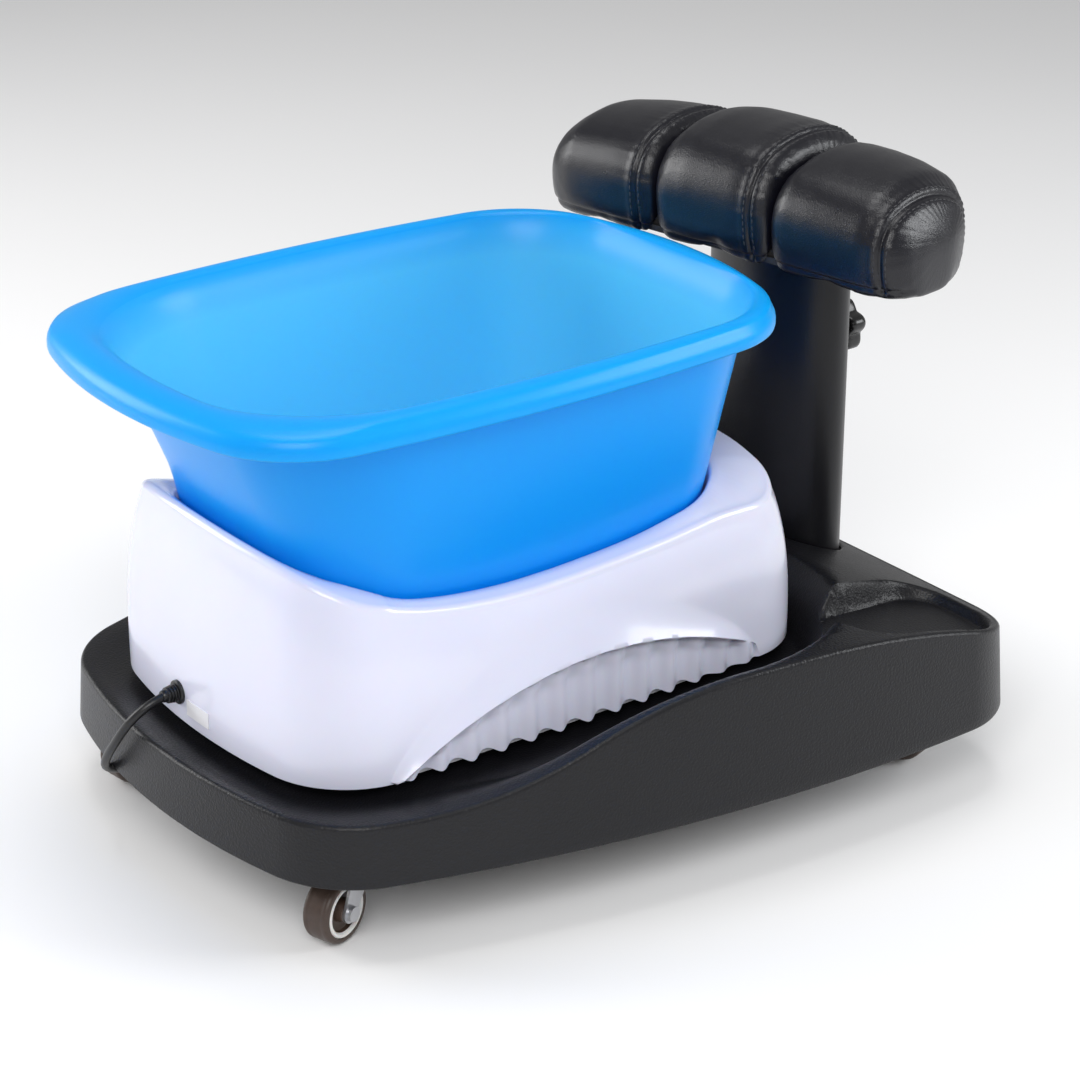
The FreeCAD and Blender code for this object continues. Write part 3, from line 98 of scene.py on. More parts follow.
cord_data.bevel_resolution = 5
cord_data.use_fill_caps = True
mains_cord = bpy.data.objects.new("mains_cord", cord_data)
bpy.context.scene.collection.objects.link(mains_cord)
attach(mains_cord, "cart")
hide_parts("cord_lead", "cord_coil")


class Tone:
    """One link of a material that is being drawn; arithmetic on it adds Math nodes."""

    def __init__(self, finish, socket):
        self.finish = finish
        self.socket = socket

    def maths(self, operation, first, second=0.0):
        return self.finish.node("ShaderNodeMath", {"operation": operation}, {0: first, 1: second})

    def __add__(self, other):
        return self.maths("ADD", self, other)

    __radd__ = __add__

    def __sub__(self, other):
        return self.maths("SUBTRACT", self, other)

    def __rsub__(self, other):
        return self.maths("SUBTRACT", other, self)

    def __mul__(self, other):
        return self.maths("MULTIPLY", self, other)

    __rmul__ = __mul__

    def __pow__(self, other):
        return self.maths("POWER", self, other)


class Finish:
    """A material: constants go straight on the shader, and only links carry what varies."""

    def __init__(self, name, colour, roughness, **constants):
        self.material = bpy.data.materials.new(name)
        self.material.use_nodes = True
        self.tree = self.material.node_tree
        self.shader = self.tree.nodes["Principled BSDF"]
        self.shader.inputs["Base Color"].default_value = (*colour, 1.0)
        self.shader.inputs["Roughness"].default_value = roughness
        for key, value in constants.items():
            self.shader.inputs[key.replace("_", " ").title().replace("Ior", "IOR")].default_value = value
        self.place = self.node("ShaderNodeTexCoord", output="Object")

    def node(self, kind, settings=None, values=None, output=0):
        """Adds one node: its settings first, a ramp's stops with them, then its values and links."""
        added = self.tree.nodes.new(kind)
        for name, value in (settings or {}).items():
            if name == "stops":
                for element, (position, tone) in zip(added.color_ramp.elements, value):
                    element.position = position
                    element.color = (tone, tone, tone, 1.0)
            else:
                setattr(added, name, value)
        for key, value in (values or {}).items():
            if isinstance(value, Tone):
                self.tree.links.new(value.socket, added.inputs[key])
            else:
                added.inputs[key].default_value = value
        return Tone(self, added.outputs[output])

    def feed(self, **links):
        for key, tone in links.items():
            self.tree.links.new(tone.socket, self.shader.inputs[key.replace("_", " ").title()])

    def noise(self, size, detail=2.0):
        """Cloudy variation from 0 to 1 whose lumps are about size metres across."""
        return self.node("ShaderNodeTexNoise", {}, {"Vector": self.place, "Scale": 1.0 / size, "Detail": detail})

    def cells(self, size, feature="F1", spread=1.0):
        """Rounded cells about size metres across, 0 in their middles."""
        return self.node("ShaderNodeTexVoronoi", {"feature": feature},
                         {"Vector": self.place, "Scale": 1.0 / size, "Randomness": spread})

    def blend(self, share, first, second):
        """A colour that goes from first to second as share goes from 0 to 1."""
        return self.node("ShaderNodeMix", {"data_type": "RGBA"},
                         {0: share, 6: (*first, 1.0), 7: (*second, 1.0)}, output=2)

    def relief(self, height, depth, strength=1.0):
        """Surface relief: height from 0 to 1 stands depth metres proud."""
        return self.node("ShaderNodeBump", {}, {"Strength": strength, "Distance": depth, "Height": height})


flex = Finish("cord_flex", (0.006, 0.006, 0.007), 0.34)
flex_dust = flex.noise(0.012, 4.0)
flex.feed(base_color=flex.blend(flex_dust, (0.004, 0.004, 0.005), (0.010, 0.010, 0.011)),
          roughness=0.28 + 0.16 * flex_dust, normal=flex.relief(flex.noise(0.0011), 0.0001, 0.5))
cord_data.materials.append(flex.material)


# Shared mesh maths. Every new piece below is a grid of points worked out as whole arrays: rings
# of points one above the other, joined by quads and closed on a middle point at either end.
def ring_quads(rows, columns, close_rows=False):
    """Quad corners of a grid whose rows are closed rings; the last row may join the first."""
    row = np.arange(rows if close_rows else rows - 1)[:, None]
    column = np.arange(columns)[None, :]
    after = (column + 1) % columns
    up = (row + 1) % rows
    corners = [row * columns + column, row * columns + after, up * columns + after, up * columns + column]
    return np.stack(np.broadcast_arrays(*corners), axis=-1).reshape(-1, 4)


def surface(name, points, quads, triangles=(), crisp=35.0):
    """Mesh object of the points and faces, all turned outwards if they enclose a negative volume."""
    points = np.asarray(points, float).reshape(-1, 3)
    quads = np.asarray(quads, int).reshape(-1, 4)
    triangles = np.asarray(triangles, int).reshape(-1, 3)
    split = np.concatenate([quads[:, [0, 1, 2]], quads[:, [0, 2, 3]], triangles])
    a, b, c = points[split[:, 0]], points[split[:, 1]], points[split[:, 2]]
    if np.einsum("ij,ij->i", a, np.cross(b, c)).sum() < 0:
        quads = quads[:, ::-1]
        triangles = triangles[:, ::-1]
    mesh = bpy.data.meshes.new(name)
    mesh.from_pydata(points.tolist(), [], quads.tolist() + triangles.tolist())
    mesh.shade_smooth()
    mesh.set_sharp_from_angle(angle=math.radians(crisp))
    piece = bpy.data.objects.new(name, mesh)
    bpy.context.scene.collection.objects.link(piece)
    return piece


def stacked(name, rings, crisp=35.0, close_rows=False):
    """Closed surface through rings of points (rows, columns, 3), with a middle point at each end."""
    rings = np.asarray(rings, float)
    rows, columns = rings.shape[:2]
    points = rings.reshape(-1, 3)
    quads = ring_quads(rows, columns, close_rows)
    triangles = np.zeros((0, 3), int)
    if not close_rows:
        step = np.arange(columns)
        after = (step + 1) % columns
        first = np.stack([after, step, np.full(columns, rows * columns)], axis=1)
        top = (rows - 1) * columns
        last = np.stack([top + step, top + after, np.full(columns, rows * columns + 1)], axis=1)
        points = np.concatenate([points, rings[:1].mean(axis=1), rings[-1:].mean(axis=1)])
        triangles = np.concatenate([first, last])
    return surface(name, points, quads, triangles, crisp)


def turned(name, profile, centre, axis, steps=96, crisp=35.0, close_rows=False):
    """Turned piece: each (radius, height) of the profile swept round the axis line through centre."""
    profile = np.asarray(profile, float)
    axis = np.asarray(axis, float) / np.linalg.norm(axis)
    side = np.cross(axis, (0.0, 0.0, 1.0) if abs(axis[2]) < 0.9 else (1.0, 0.0, 0.0))
    side = side / np.linalg.norm(side)
    other = np.cross(axis, side)
    angle = np.linspace(0.0, 2.0 * np.pi, steps, endpoint=False)
    round_it = np.cos(angle)[:, None] * side + np.sin(angle)[:, None] * other
    rings = centre + profile[:, 0, None, None] * round_it[None] + profile[:, 1, None, None] * axis
    return stacked(name, place(rings), crisp, close_rows)


def corner_arc(across, along, radius, start, end, count):
    """Points of an arc about (across, along), from start to end degrees."""
    angle = np.radians(np.linspace(start, end, count))
    return np.stack([across + radius * np.cos(angle), along + radius * np.sin(angle)], axis=1)


# Floor and light. A plain pale studio floor, a large soft lamp over the front left shoulder, a
# cooler strip at the right and a low fill from the far side, under an even white sky.
floor_rings = np.stack([
    np.stack([reach * np.cos(np.linspace(0, 2 * np.pi, 64, endpoint=False)),
              reach * np.sin(np.linspace(0, 2 * np.pi, 64, endpoint=False)),
              np.full(64, -0.0003)], axis=1)
    for reach in (0.5, 2.0, 9.0)])
floor_points = np.concatenate([floor_rings.reshape(-1, 3), [(0.0, 0.0, -0.0003)]])
floor_fan = np.stack([np.arange(64), (np.arange(64) + 1) % 64, np.full(64, 192)], axis=1)
floor = surface("floor", floor_points, ring_quads(3, 64)[:, ::-1], floor_fan)
floor_paint = Finish("floor_paint", (0.94, 0.94, 0.945), 0.70)
floor_paint.feed(base_color=floor_paint.blend(floor_paint.noise(0.6), (0.93, 0.93, 0.935), (0.96, 0.96, 0.965)))
floor.data.materials.append(floor_paint.material)

for name, where, size, power, tint in (
        ("key_lamp", (-1.3, -1.5, 1.7), 1.3, 30.0, (1.0, 0.99, 0.98)),
        ("top_lamp", (0.1, 0.2, 2.3), 1.1, 15.0, (1.0, 1.0, 1.0)),
        ("right_lamp", (1.5, -1.3, 1.0), 0.9, 20.0, (0.96, 0.98, 1.0)),
        ("far_lamp", (-1.3, 1.7, 0.9), 1.2, 26.0, (1.0, 1.0, 1.0))):
    lamp_data = bpy.data.lights.new(name, "AREA")
    lamp_data.size = size
    lamp_data.energy = power
    lamp_data.color = tint
    lamp = bpy.data.objects.new(name, lamp_data)
    lamp.location = where
    aim = np.array([0.0, 0.0, 0.2]) - np.array(where)
    tilt = math.atan2(math.hypot(aim[0], aim[1]), -aim[2])
    lamp.rotation_euler = (tilt, 0.0, math.atan2(aim[0], -aim[1]) + math.pi)
    bpy.context.scene.collection.objects.link(lamp)
world = bpy.data.worlds.new("studio")
world.use_nodes = True
world.node_tree.nodes["Background"].inputs["Color"].default_value = (1.0, 1.0, 1.0, 1.0)
world.node_tree.nodes["Background"].inputs["Strength"].default_value = 0.34
bpy.context.scene.world = world


# Base shell. One injection moulding in black ABS with a fine pebbled grain, on a flat board. Its
# rim is crisp at the edge and rolls inwards to a trough round the cradle, the deck rises to a
# crest beside the basin and falls to the rear, and a tray is sunk each side of the column.
def circle_centre(first, first_reach, second, second_reach, toward):
    """Where two circles cross, on the side of toward: the middle of an arc tangent to both."""
    apart = np.subtract(second, first)
    span = np.hypot(*apart)
    along = (span ** 2 + first_reach ** 2 - second_reach ** 2) / (2.0 * span)
    aside = math.sqrt(first_reach ** 2 - along ** 2)
    both = [np.add(first, along * apart / span + sign * aside * np.array([-apart[1], apart[0]]) / span)
            for sign in (-1, 1)]
    return max(both, key=lambda middle: toward * middle[0])


def oval(front, rear, half, widest, side_radius, front_radius, rear_radius, front_corner, rear_corner, counts):
    """Outline of eight tangent arcs, as points and their outward directions, in mm.
    Half of it is sampled arc by arc and mirrored, and any offset of it is point less offset times direction."""
    front_middle = (front + front_radius, 0.0)
    rear_middle = (rear - rear_radius, 0.0)
    side_middle = (widest, half - side_radius)
    near = circle_centre(front_middle, front_radius - front_corner, side_middle, side_radius - front_corner, -1)
    far = circle_centre(rear_middle, rear_radius - rear_corner, side_middle, side_radius - rear_corner, 1)
    turns = [np.pi, math.atan2(near[1], near[0] - front_middle[0]),
             math.atan2(near[1] - side_middle[1], near[0] - side_middle[0]),
             math.atan2(far[1] - side_middle[1], far[0] - side_middle[0]),
             math.atan2(far[1], far[0] - rear_middle[0]), 0.0]
    middles = [front_middle, near, side_middle, far, rear_middle]
    radii = [front_radius, front_corner, side_radius, rear_corner, rear_radius]
    points = []
    ways = []
    for k in range(5):
        turn = np.linspace(turns[k], turns[k + 1], counts[k], endpoint=False)
        way = np.stack([np.cos(turn), np.sin(turn)], axis=1)
        ways.append(way)
        points.append(np.asarray(middles[k]) + radii[k] * way)
    points = np.concatenate(points)
    ways = np.concatenate(ways)
    flip = np.array([1.0, -1.0])
    points = np.concatenate([points, [(rear, 0.0)], points[:0:-1] * flip])
    ways = np.concatenate([ways, [(1.0, 0.0)], ways[:0:-1] * flip])
    return points, ways


def depth_inside(spots, points, ways):
    """Distance inside a convex outline, negative outside: the least of way times (point less spot)."""
    level = np.einsum("ij,ij->i", points, ways)
    return np.concatenate([(level[None, :] - part @ ways.T).min(axis=1)
                           for part in np.array_split(spots, max(1, len(spots) // 2000))])


def ramp(value, low, high):
    """Smooth step: 0 below low, 1 above high, three squares less two cubes between."""
    share = np.clip((value - low) / (high - low), 0.0, 1.0)
    return share * share * (3.0 - 2.0 * share)


def deck_height(x):
    """Deck line: level at 88, an S of two equal arcs up to 134, level, then one arc down to 94."""
    share = np.clip((x + 130.0) / 220.0, 0.0, 1.0)
    arc_radius = (110.0 ** 2 + 23.0 ** 2) / 46.0
    run = np.where(share < 0.5, share, 1.0 - share) * 220.0
    bow = arc_radius - np.sqrt(arc_radius ** 2 - run ** 2)
    rise = np.where(share < 0.5, bow, 46.0 - bow)
    fall_radius = (201.0 ** 2 + 40.0 ** 2) / 80.0
    fall = fall_radius - np.sqrt(fall_radius ** 2 - np.clip(x - 120.0, 0.0, 215.0) ** 2)
    return 88.0 + rise - fall


base_line, base_ways = oval(-201, 321, 227, 236, 1153, 455, 4000, 72, 62, (50, 34, 150, 34, 60))
pocket_line, pocket_ways = oval(-181, 223, 198, 236, 1124, 455, 4000, 60, 120, (46, 30, 90, 46, 30))
tray_corners = np.array([(186.0, 132.0), (304.0, 124.0), (300.0, 221.0), (172.0, 212.0)])
tray_radii = np.array([12.0, 30.0, 42.0, 34.0])


def rounded_polygon(corners, radii, count):
    """Convex polygon with round corners: an arc at each corner, straight runs between, with directions."""
    before = np.roll(corners, 1, axis=0) - corners
    after = np.roll(corners, -1, axis=0) - corners
    before = before / np.linalg.norm(before, axis=1)[:, None]
    after = after / np.linalg.norm(after, axis=1)[:, None]
    middle_way = before + after
    middle_way = middle_way / np.linalg.norm(middle_way, axis=1)[:, None]
    half = np.arccos(np.einsum("ij,ij->i", before, after)) / 2.0
    middles = corners + middle_way * (radii / np.sin(half))[:, None]
    outward = np.arctan2(-middle_way[:, 1], -middle_way[:, 0])
    spread = np.linspace(-1.0, 1.0, count)
    turn = outward[:, None] + spread[None, :] * (np.pi / 2.0 - half)[:, None]
    way = np.stack([np.cos(turn), np.sin(turn)], axis=-1)
    return (middles[:, None] + radii[:, None, None] * way).reshape(-1, 2), way.reshape(-1, 2)


tray_line, tray_ways = rounded_polygon(tray_corners, tray_radii, 14)
skirt_foot = 49.0
under_deck = 79.0
edge_roll = 3.0
column_x = 284.0
hole_long, hole_wide = 31.0, 63.0
hole_turn = np.linspace(0.0, 2.0 * np.pi, 150, endpoint=False)
hole_line = np.stack([column_x + hole_long * np.cos(hole_turn), hole_wide * np.sin(hole_turn)], axis=1)
hole_ways = np.stack([hole_wide * np.cos(hole_turn), hole_long * np.sin(hole_turn)], axis=1)
hole_ways = hole_ways / np.linalg.norm(hole_ways, axis=1)[:, None]


def shell_height(spots):
    """Top of the shell: the deck, blended down into the pocket, the trays and the column's groove."""
    height = deck_height(spots[:, 0])
    within = depth_inside(spots, pocket_line, pocket_ways)
    rim = depth_inside(spots, base_line, base_ways)
    share = ramp(within, -18.0, 12.0) * ramp(rim, 5.0, 14.0)
    height = height + (84.0 - height) * share
    for side in (1.0, -1.0):
        mirrored = spots * (1.0, side)
        inside = depth_inside(mirrored, tray_line, tray_ways)
        tray_floor = 109.0 - 14.0 * (spots[:, 0] - 186.0) / 118.0
        height = height + (np.minimum(tray_floor, height) - height) * ramp(inside, 0.0, 7.0)
    from_hole = -depth_inside(spots, hole_line, hole_ways)
    return height - 2.6 * (1.0 - np.sqrt(1.0 - np.clip(1.0 - from_hole / 3.0, 0.0, 1.0) ** 2))


def base_offset(inset):
    """The base's outline drawn in by inset, one number or one for each of its points."""
    return base_line - base_ways * np.reshape(inset, (-1, 1))


def skirt_inset(height):
    """Draft of the skirt: 8 mm inwards over its first 101 mm of height."""
    return 8.0 * (height - skirt_foot) / 101.0


edge_top = deck_height(base_line[:, 0])
for repeat in range(3):
    edge_top = deck_height(base_offset(skirt_inset(edge_top) + edge_roll)[:, 0])
rings = []
for inner, height in ((5.0, under_deck), (5.0, 64.0), (4.2, 50.0), (3.4, skirt_foot), (0.6, skirt_foot)):
    rings.append(np.column_stack([base_offset(inner), np.full(len(base_line), height)]))
for share in np.linspace(0.02, 1.0, 14):
    height = skirt_foot + share * (edge_top - edge_roll - skirt_foot)
    rings.append(np.column_stack([base_offset(skirt_inset(height)), height]))
for turn in np.radians((15, 30, 45, 60, 75)):
    height = edge_top - edge_roll * (1.0 - np.sin(turn))
    inset = skirt_inset(edge_top - edge_roll) + edge_roll * (1.0 - np.cos(turn))
    rings.append(np.column_stack([base_offset(inset), height]))
rim_inset = skirt_inset(edge_top - edge_roll) + edge_roll
rings.append(np.column_stack([base_offset(rim_inset), edge_top]))
skirt = np.stack(rings)
shell_rim = rings[-1][:, :2]
flow = [shell_rim]
for inward in (0.8, 1.8, 3.2, 5.0, 7.5, 10.5, 14.0, 18.0):
    flow.append(base_offset(rim_inset + inward)[::2])
for outward in np.arange(-22.0, 15.0, 2.0):
    flow.append(pocket_line + pocket_ways * outward)
tray_long = np.stack([tray_line, np.roll(tray_line, -1, axis=0)], axis=1)
tray_ways_long = np.stack([tray_ways, np.roll(tray_ways, -1, axis=0)], axis=1)
steps_between = np.linspace(0.0, 1.0, 12, endpoint=False)[None, :, None]
gap = np.linalg.norm(tray_long[:, 1] - tray_long[:, 0], axis=1) > 6.0
tray_straight = (tray_long[gap, 0, None] * (1 - steps_between)
                 + tray_long[gap, 1, None] * steps_between).reshape(-1, 2)
tray_straight_way = (tray_ways_long[gap, 0, None] * (1 - steps_between)
                     + tray_ways_long[gap, 1, None] * steps_between).reshape(-1, 2)
tray_outline = np.concatenate([tray_line, tray_straight])
tray_outward = np.concatenate([tray_ways, tray_straight_way])
for outward in np.arange(-9.0, 2.1, 1.0):
    for side in (1.0, -1.0):
        flow.append((tray_outline + tray_outward * outward) * (1.0, side))
for outward in (0.4, 0.9, 1.5, 2.2, 3.2, 5.0, 8.0):
    flow.append(hole_line + hole_ways * outward)
across, along = np.meshgrid(np.arange(-196.0, 320.0, 7.0), np.arange(-224.0, 225.0, 7.0))
flow.append(np.stack([across.ravel(), along.ravel()], axis=1))
inner_spots = np.concatenate(flow[1:])
far_in = depth_inside(inner_spots, shell_rim, base_ways) > 0.4
off_hole = -depth_inside(inner_spots, hole_line, hole_ways) > 0.2
inner_spots = np.unique(np.round(inner_spots[far_in & off_hole], 2), axis=0)
spots = np.concatenate([shell_rim, hole_line, inner_spots])


def filled(spots):
    """Triangles between scattered plan points (Delaunay), less those inside the column's hole."""
    found = delaunay_2d_cdt(spots.tolist(), [], [], 0, 1e-5)
    plan = np.array([tuple(spot) for spot in found[0]])
    faces = np.array([face for face in found[2] if len(face) == 3])
    middles = plan[faces].mean(axis=1)
    return plan, faces[depth_inside(middles, hole_line, hole_ways) < 0.0]


plan, top_faces = filled(spots)
top_points = np.column_stack([plan, shell_height(plan)])
cap_plan, cap_faces = filled(np.concatenate([base_offset(5.0), hole_line]))
cap_points = np.column_stack([cap_plan, np.full(len(cap_plan), under_deck)])
hole_top = shell_height(hole_line)
hole_rings = np.stack([np.column_stack([hole_line, under_deck + (hole_top - under_deck) * share])
                       for share in np.linspace(0, 1, 5)])
skirt_quads = ring_quads(len(skirt), len(base_line))
hole_quads = ring_quads(5, len(hole_line))


def facing(points, faces, outward):
    """Faces turned so that their normals agree with the outward direction given for each."""
    a, b, c = points[faces[:, 0]], points[faces[:, 1]], points[faces[:, 2]]
    wrong = np.einsum("ij,ij->i", np.cross(b - a, c - a), outward) < 0
    faces = faces.copy()
    faces[wrong] = faces[wrong][:, ::-1]
    return faces


skirt_points = skirt.reshape(-1, 3)
hole_points = hole_rings.reshape(-1, 3)
parts = [skirt_points, top_points, cap_points, hole_points]
starts = np.cumsum([0] + [len(part) for part in parts])
top_faces = facing(top_points, top_faces, np.tile((0.0, 0.0, 1.0), (len(top_faces), 1)))
cap_faces = facing(cap_points, cap_faces, np.tile((0.0, 0.0, -1.0), (len(cap_faces), 1)))
hole_middles = hole_points[hole_quads].mean(axis=1)
hole_quads = facing(hole_points, hole_quads, np.array([column_x, 0.0, 0.0]) - hole_middles * (1.0, 1.0, 0.0))
skirt_row = np.repeat(np.arange(len(skirt) - 1), len(base_line))
skirt_way = np.tile(np.column_stack([base_ways, np.zeros(len(base_ways))]), (len(skirt) - 1, 1))
skirt_way = np.where((skirt_row < 3)[:, None], -skirt_way, skirt_way)
skirt_way = np.where((skirt_row == 3)[:, None], (0.0, 0.0, -1.0), skirt_way)
skirt_quads = facing(skirt_points, skirt_quads, skirt_way)
shell_points = place(np.concatenate(parts))
base_piece = surface("base_moulding", shell_points, np.concatenate([skirt_quads, hole_quads + starts[3]]),
                     np.concatenate([top_faces + starts[1], cap_faces + starts[2]]), 38.0)
weld = bmesh.new()
weld.from_mesh(base_piece.data)
bmesh.ops.remove_doubles(weld, verts=weld.verts, dist=2e-5)
weld.to_mesh(base_piece.data)
weld.free()
base_piece.data.shade_smooth()
base_piece.data.set_sharp_from_angle(angle=math.radians(38.0))
base_plastic = Finish("base_abs", (0.006, 0.006, 0.007), 0.36, specular_ior_level=0.35)
pebble = base_plastic.cells(0.0013, "SMOOTH_F1", 1.0)
base_wear = base_plastic.noise(0.05, 5.0)
base_plastic.feed(
    base_color=base_plastic.blend(base_wear, (0.0040, 0.0040, 0.0055), (0.0075, 0.0075, 0.0095)),
    roughness=0.30 + 0.10 * base_wear + 0.06 * pebble,
    normal=base_plastic.relief(pebble + 0.35 * base_plastic.noise(0.0005), 0.00030, 0.80))
base_piece.data.materials.append(base_plastic.material)
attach(base_piece, "cart")
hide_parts("base_shell")


# Cradle housing. A glossy lavender-white moulding that holds the basin: its wall stands nearly
# upright and rolls in at the top, where a smooth band leads to the opening. Each side has a
# raised crescent with a crisp lower lip over a row of hollow flutes, open beneath.
housing_counts = (34, 26, 236, 26, 30)
housing_line, housing_ways = oval(-172, 217, 135, 30, 2500, 438, 900, 62, 55, housing_counts)
well_fine, well_fine_ways = oval(-166, 189, 132, 10, 1500, 420, 900, 88, 74, (160, 160, 900, 160, 160))
drawn_in = housing_line - 24.0 * housing_ways  # each point of the opening faces its point of the wall
opposite = np.argmin(((drawn_in[:, None] - well_fine[None]) ** 2).sum(axis=2), axis=1)
well_line, well_ways = well_fine[opposite], well_fine_ways[opposite]


def basin_draft(height):
    """Inset of the basin's wall: 40 mm over the 193 mm from its rim down to its floor."""
    return 40.0 * (321.0 - height) / 193.0


def well_ring(height, grown):
    """The opening's wall: the basin's outline at that height, a little wider."""
    return well_line - well_ways * np.reshape(basin_draft(height) - grown, (-1, 1))


def circular_smooth(values, reach):
    """Mean over neighbours on a closed ring, reach points each way."""
    return sum(np.roll(values, k) for k in range(-reach, reach + 1)) / (2 * reach + 1)


crest_plan = housing_line - 20.0 * housing_ways
along_side = np.interp(
    crest_plan[:, 0],
    (-153, -143, -135, -124, -111, -98, -83, -60, -35, -13, 20, 50, 91, 120, 134, 150, 190),
    (222.5, 216, 210, 203.5, 198, 194, 190, 186, 183.5, 182.5, 183, 184.5, 187, 190, 191.5, 191, 189))
along_rear = np.interp(
    np.abs(crest_plan[:, 1]),
    (0, 44, 60, 74, 89, 101, 110),
    (207, 206, 204.5, 202, 196.5, 191, 189))
at_rear = ramp(crest_plan[:, 0], 160.0, 186.0)
shoulder = circular_smooth(along_side * (1 - at_rear) + along_rear * at_rear, 7)
opening_plan = well_ring(200.0, 2.0)
opening = circular_smooth(np.interp(
    opening_plan[:, 0], (-147, -137, -123, -103, -60, -20, 7, 50, 84, 115, 135, 157, 166),
    (218, 213, 206.5, 200.5, 193, 189.5, 188.5, 188.5, 190, 193.5, 197.5, 205, 207)), 5)
level_band = np.minimum(opening, shoulder + 0.6)
opening = circular_smooth(level_band + (opening - level_band) * ramp(opening_plan[:, 0], 60.0, 130.0), 5)

bottom = 92.0
off_middle = np.abs(housing_line[:, 0] - 22.0) / 138.0
on_side = np.abs(housing_ways[:, 1]) > 0.9
outer_arc = np.clip(1.0 - off_middle ** 2, 0.0, 1.0)
outer_lift = 71.0 * (0.55 * np.sqrt(outer_arc) + 0.45 * outer_arc) * on_side
from_peak = np.abs(housing_line[:, 0] - 28.0) / 140.0
inner_arc = np.clip(1.0 - from_peak ** 2, 0.0, 1.0)
inner_lift = 44.5 * (0.3 * np.sqrt(inner_arc) + 0.7 * inner_arc) * on_side
strength = ramp(outer_lift - inner_lift, 1.0, 16.0) * on_side
inner_lift = np.where(on_side, np.minimum(inner_lift, outer_lift), 0.0)
ridge = np.abs(np.cos(np.pi * (housing_line[:, 0] - 22.0) / 21.0)) ** 2.6
fluted = ramp(inner_lift, 2.0, 9.0) * on_side
foot = bottom + 3.4 * (1.0 - ridge) * fluted * ramp(-housing_line[:, 0], -128.0, -90.0)
inner_height = np.maximum(bottom + inner_lift, foot + 1.6)
outer_height = np.maximum(bottom + outer_lift, inner_height + 2.0)
lip_out = 6.0 * strength


def lean(height):
    """Wall's inset: 15 mm at the shoulder, by the cube of the height share."""
    share = np.clip((height - bottom) / (shoulder - bottom), 0.0, 1.0)
    return 15.0 * share ** 3


def wall_ring(height, proud):
    return np.column_stack([housing_line - housing_ways * (lean(height) - proud)[:, None], height])


flute_out = fluted * (1.9 * ridge - 1.7 * (1.0 - ridge))
rings = [np.column_stack([housing_line - housing_ways * 2.4, foot])]
for share in np.linspace(0.0, 1.0, 12):
    height = foot + share * (inner_height - 3.4 * strength - foot)
    under_lip = ramp(share, 0.72, 1.0) * 0.35
    rings.append(wall_ring(height, flute_out * (1.0 - under_lip) + lip_out * under_lip))
for drop, part in ((2.2, 0.58), (1.2, 0.86), (0.5, 0.97), (0.0, 1.0)):
    height = inner_height - drop * strength
    rings.append(wall_ring(height, lip_out * part + flute_out * (1.0 - part)))
for share in np.linspace(0.0, 1.0, 13)[1:]:
    height = inner_height + share * (outer_height - inner_height)
    rings.append(wall_ring(height, lip_out * (1.0 - share) ** 1.7))
round_top = 5.0
for share in np.linspace(0.0, 1.0, 15)[1:]:
    height = outer_height + share * (shoulder - round_top - outer_height)
    rings.append(wall_ring(height, np.zeros(len(height))))
inset_there = lean(shoulder - round_top)
for turn in np.radians(np.linspace(8.0, 84.0, 9)):
    inset = inset_there + round_top * (1.0 - np.cos(turn))
    height = shoulder - round_top * (1.0 - np.sin(turn))
    rings.append(np.column_stack([housing_line - housing_ways * inset[:, None], height]))
edge_of_band = rings[-1]
opening_edge = np.column_stack([well_ring(opening, 4.0), opening])
for share in np.linspace(0.0, 1.0, 8)[1:]:
    ring = edge_of_band * (1 - share) + opening_edge * share
    ring[:, 2] += 0.9 * np.sin(np.pi * share)
    rings.append(ring)
for drop, grown in ((0.5, 2.8), (1.6, 2.1)):
    rings.append(np.column_stack([well_ring(opening - drop, grown), opening - drop]))
for share in np.linspace(0.0, 1.0, 7)[1:]:
    height = opening - 1.6 - share * (opening - 1.6 - 128.0)
    rings.append(np.column_stack([well_ring(height, 2.0), height]))
rings.append(np.column_stack([well_ring(125.4, 0.5), np.full(len(well_line), 125.4)]))
well_floor = well_ring(124.7, -2.0)
well_middle = well_floor.mean(axis=0)
for share in (1.0, 0.8, 0.5, 0.2):
    rings.append(np.column_stack([well_middle + share * (well_floor - well_middle),
                                  np.full(len(well_line), 124.7)]))
for share in (0.2, 0.5, 0.8, 1.0):
    under = well_ring(121.7, 4.0)
    rings.insert(0, np.column_stack([well_middle + share * (under - well_middle), np.full(len(well_line), 121.7)]))
inner_rings = []
for share in (0.25, 0.6, 1.0):
    height = 121.7 + share * (opening - 5.0 - 121.7)
    inner_rings.append(np.column_stack([well_ring(height, 5.0), height]))
for share in (0.3, 0.7, 1.0):
    height = shoulder - 6.0 - share * (shoulder - 6.0 - bottom - 20.0)
    inner_rings.append(np.column_stack([housing_line - housing_ways * (lean(height) + 3.4)[:, None], height]))
inner_rings.append(np.column_stack([housing_line - housing_ways * 3.4, foot + 1.0]))
rings[4:4] = inner_rings
housing = stacked("cradle_housing", place(np.stack(rings)), 40.0)
housing_plastic = Finish("housing_abs", (0.74, 0.75, 0.86), 0.22, coat_weight=0.35, coat_roughness=0.08,
                         subsurface_weight=0.12, subsurface_scale=0.004)
soiling = housing_plastic.noise(0.07, 5.0)
housing_plastic.feed(
    base_color=housing_plastic.blend(soiling, (0.70, 0.71, 0.86), (0.76, 0.77, 0.91)),
    roughness=0.18 + 0.10 * soiling,
    normal=housing_plastic.relief(housing_plastic.noise(0.0016, 0.0), 0.00003, 0.4))
housing.data.materials.append(housing_plastic.material)
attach(housing, "cart")
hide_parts("unit_housing")


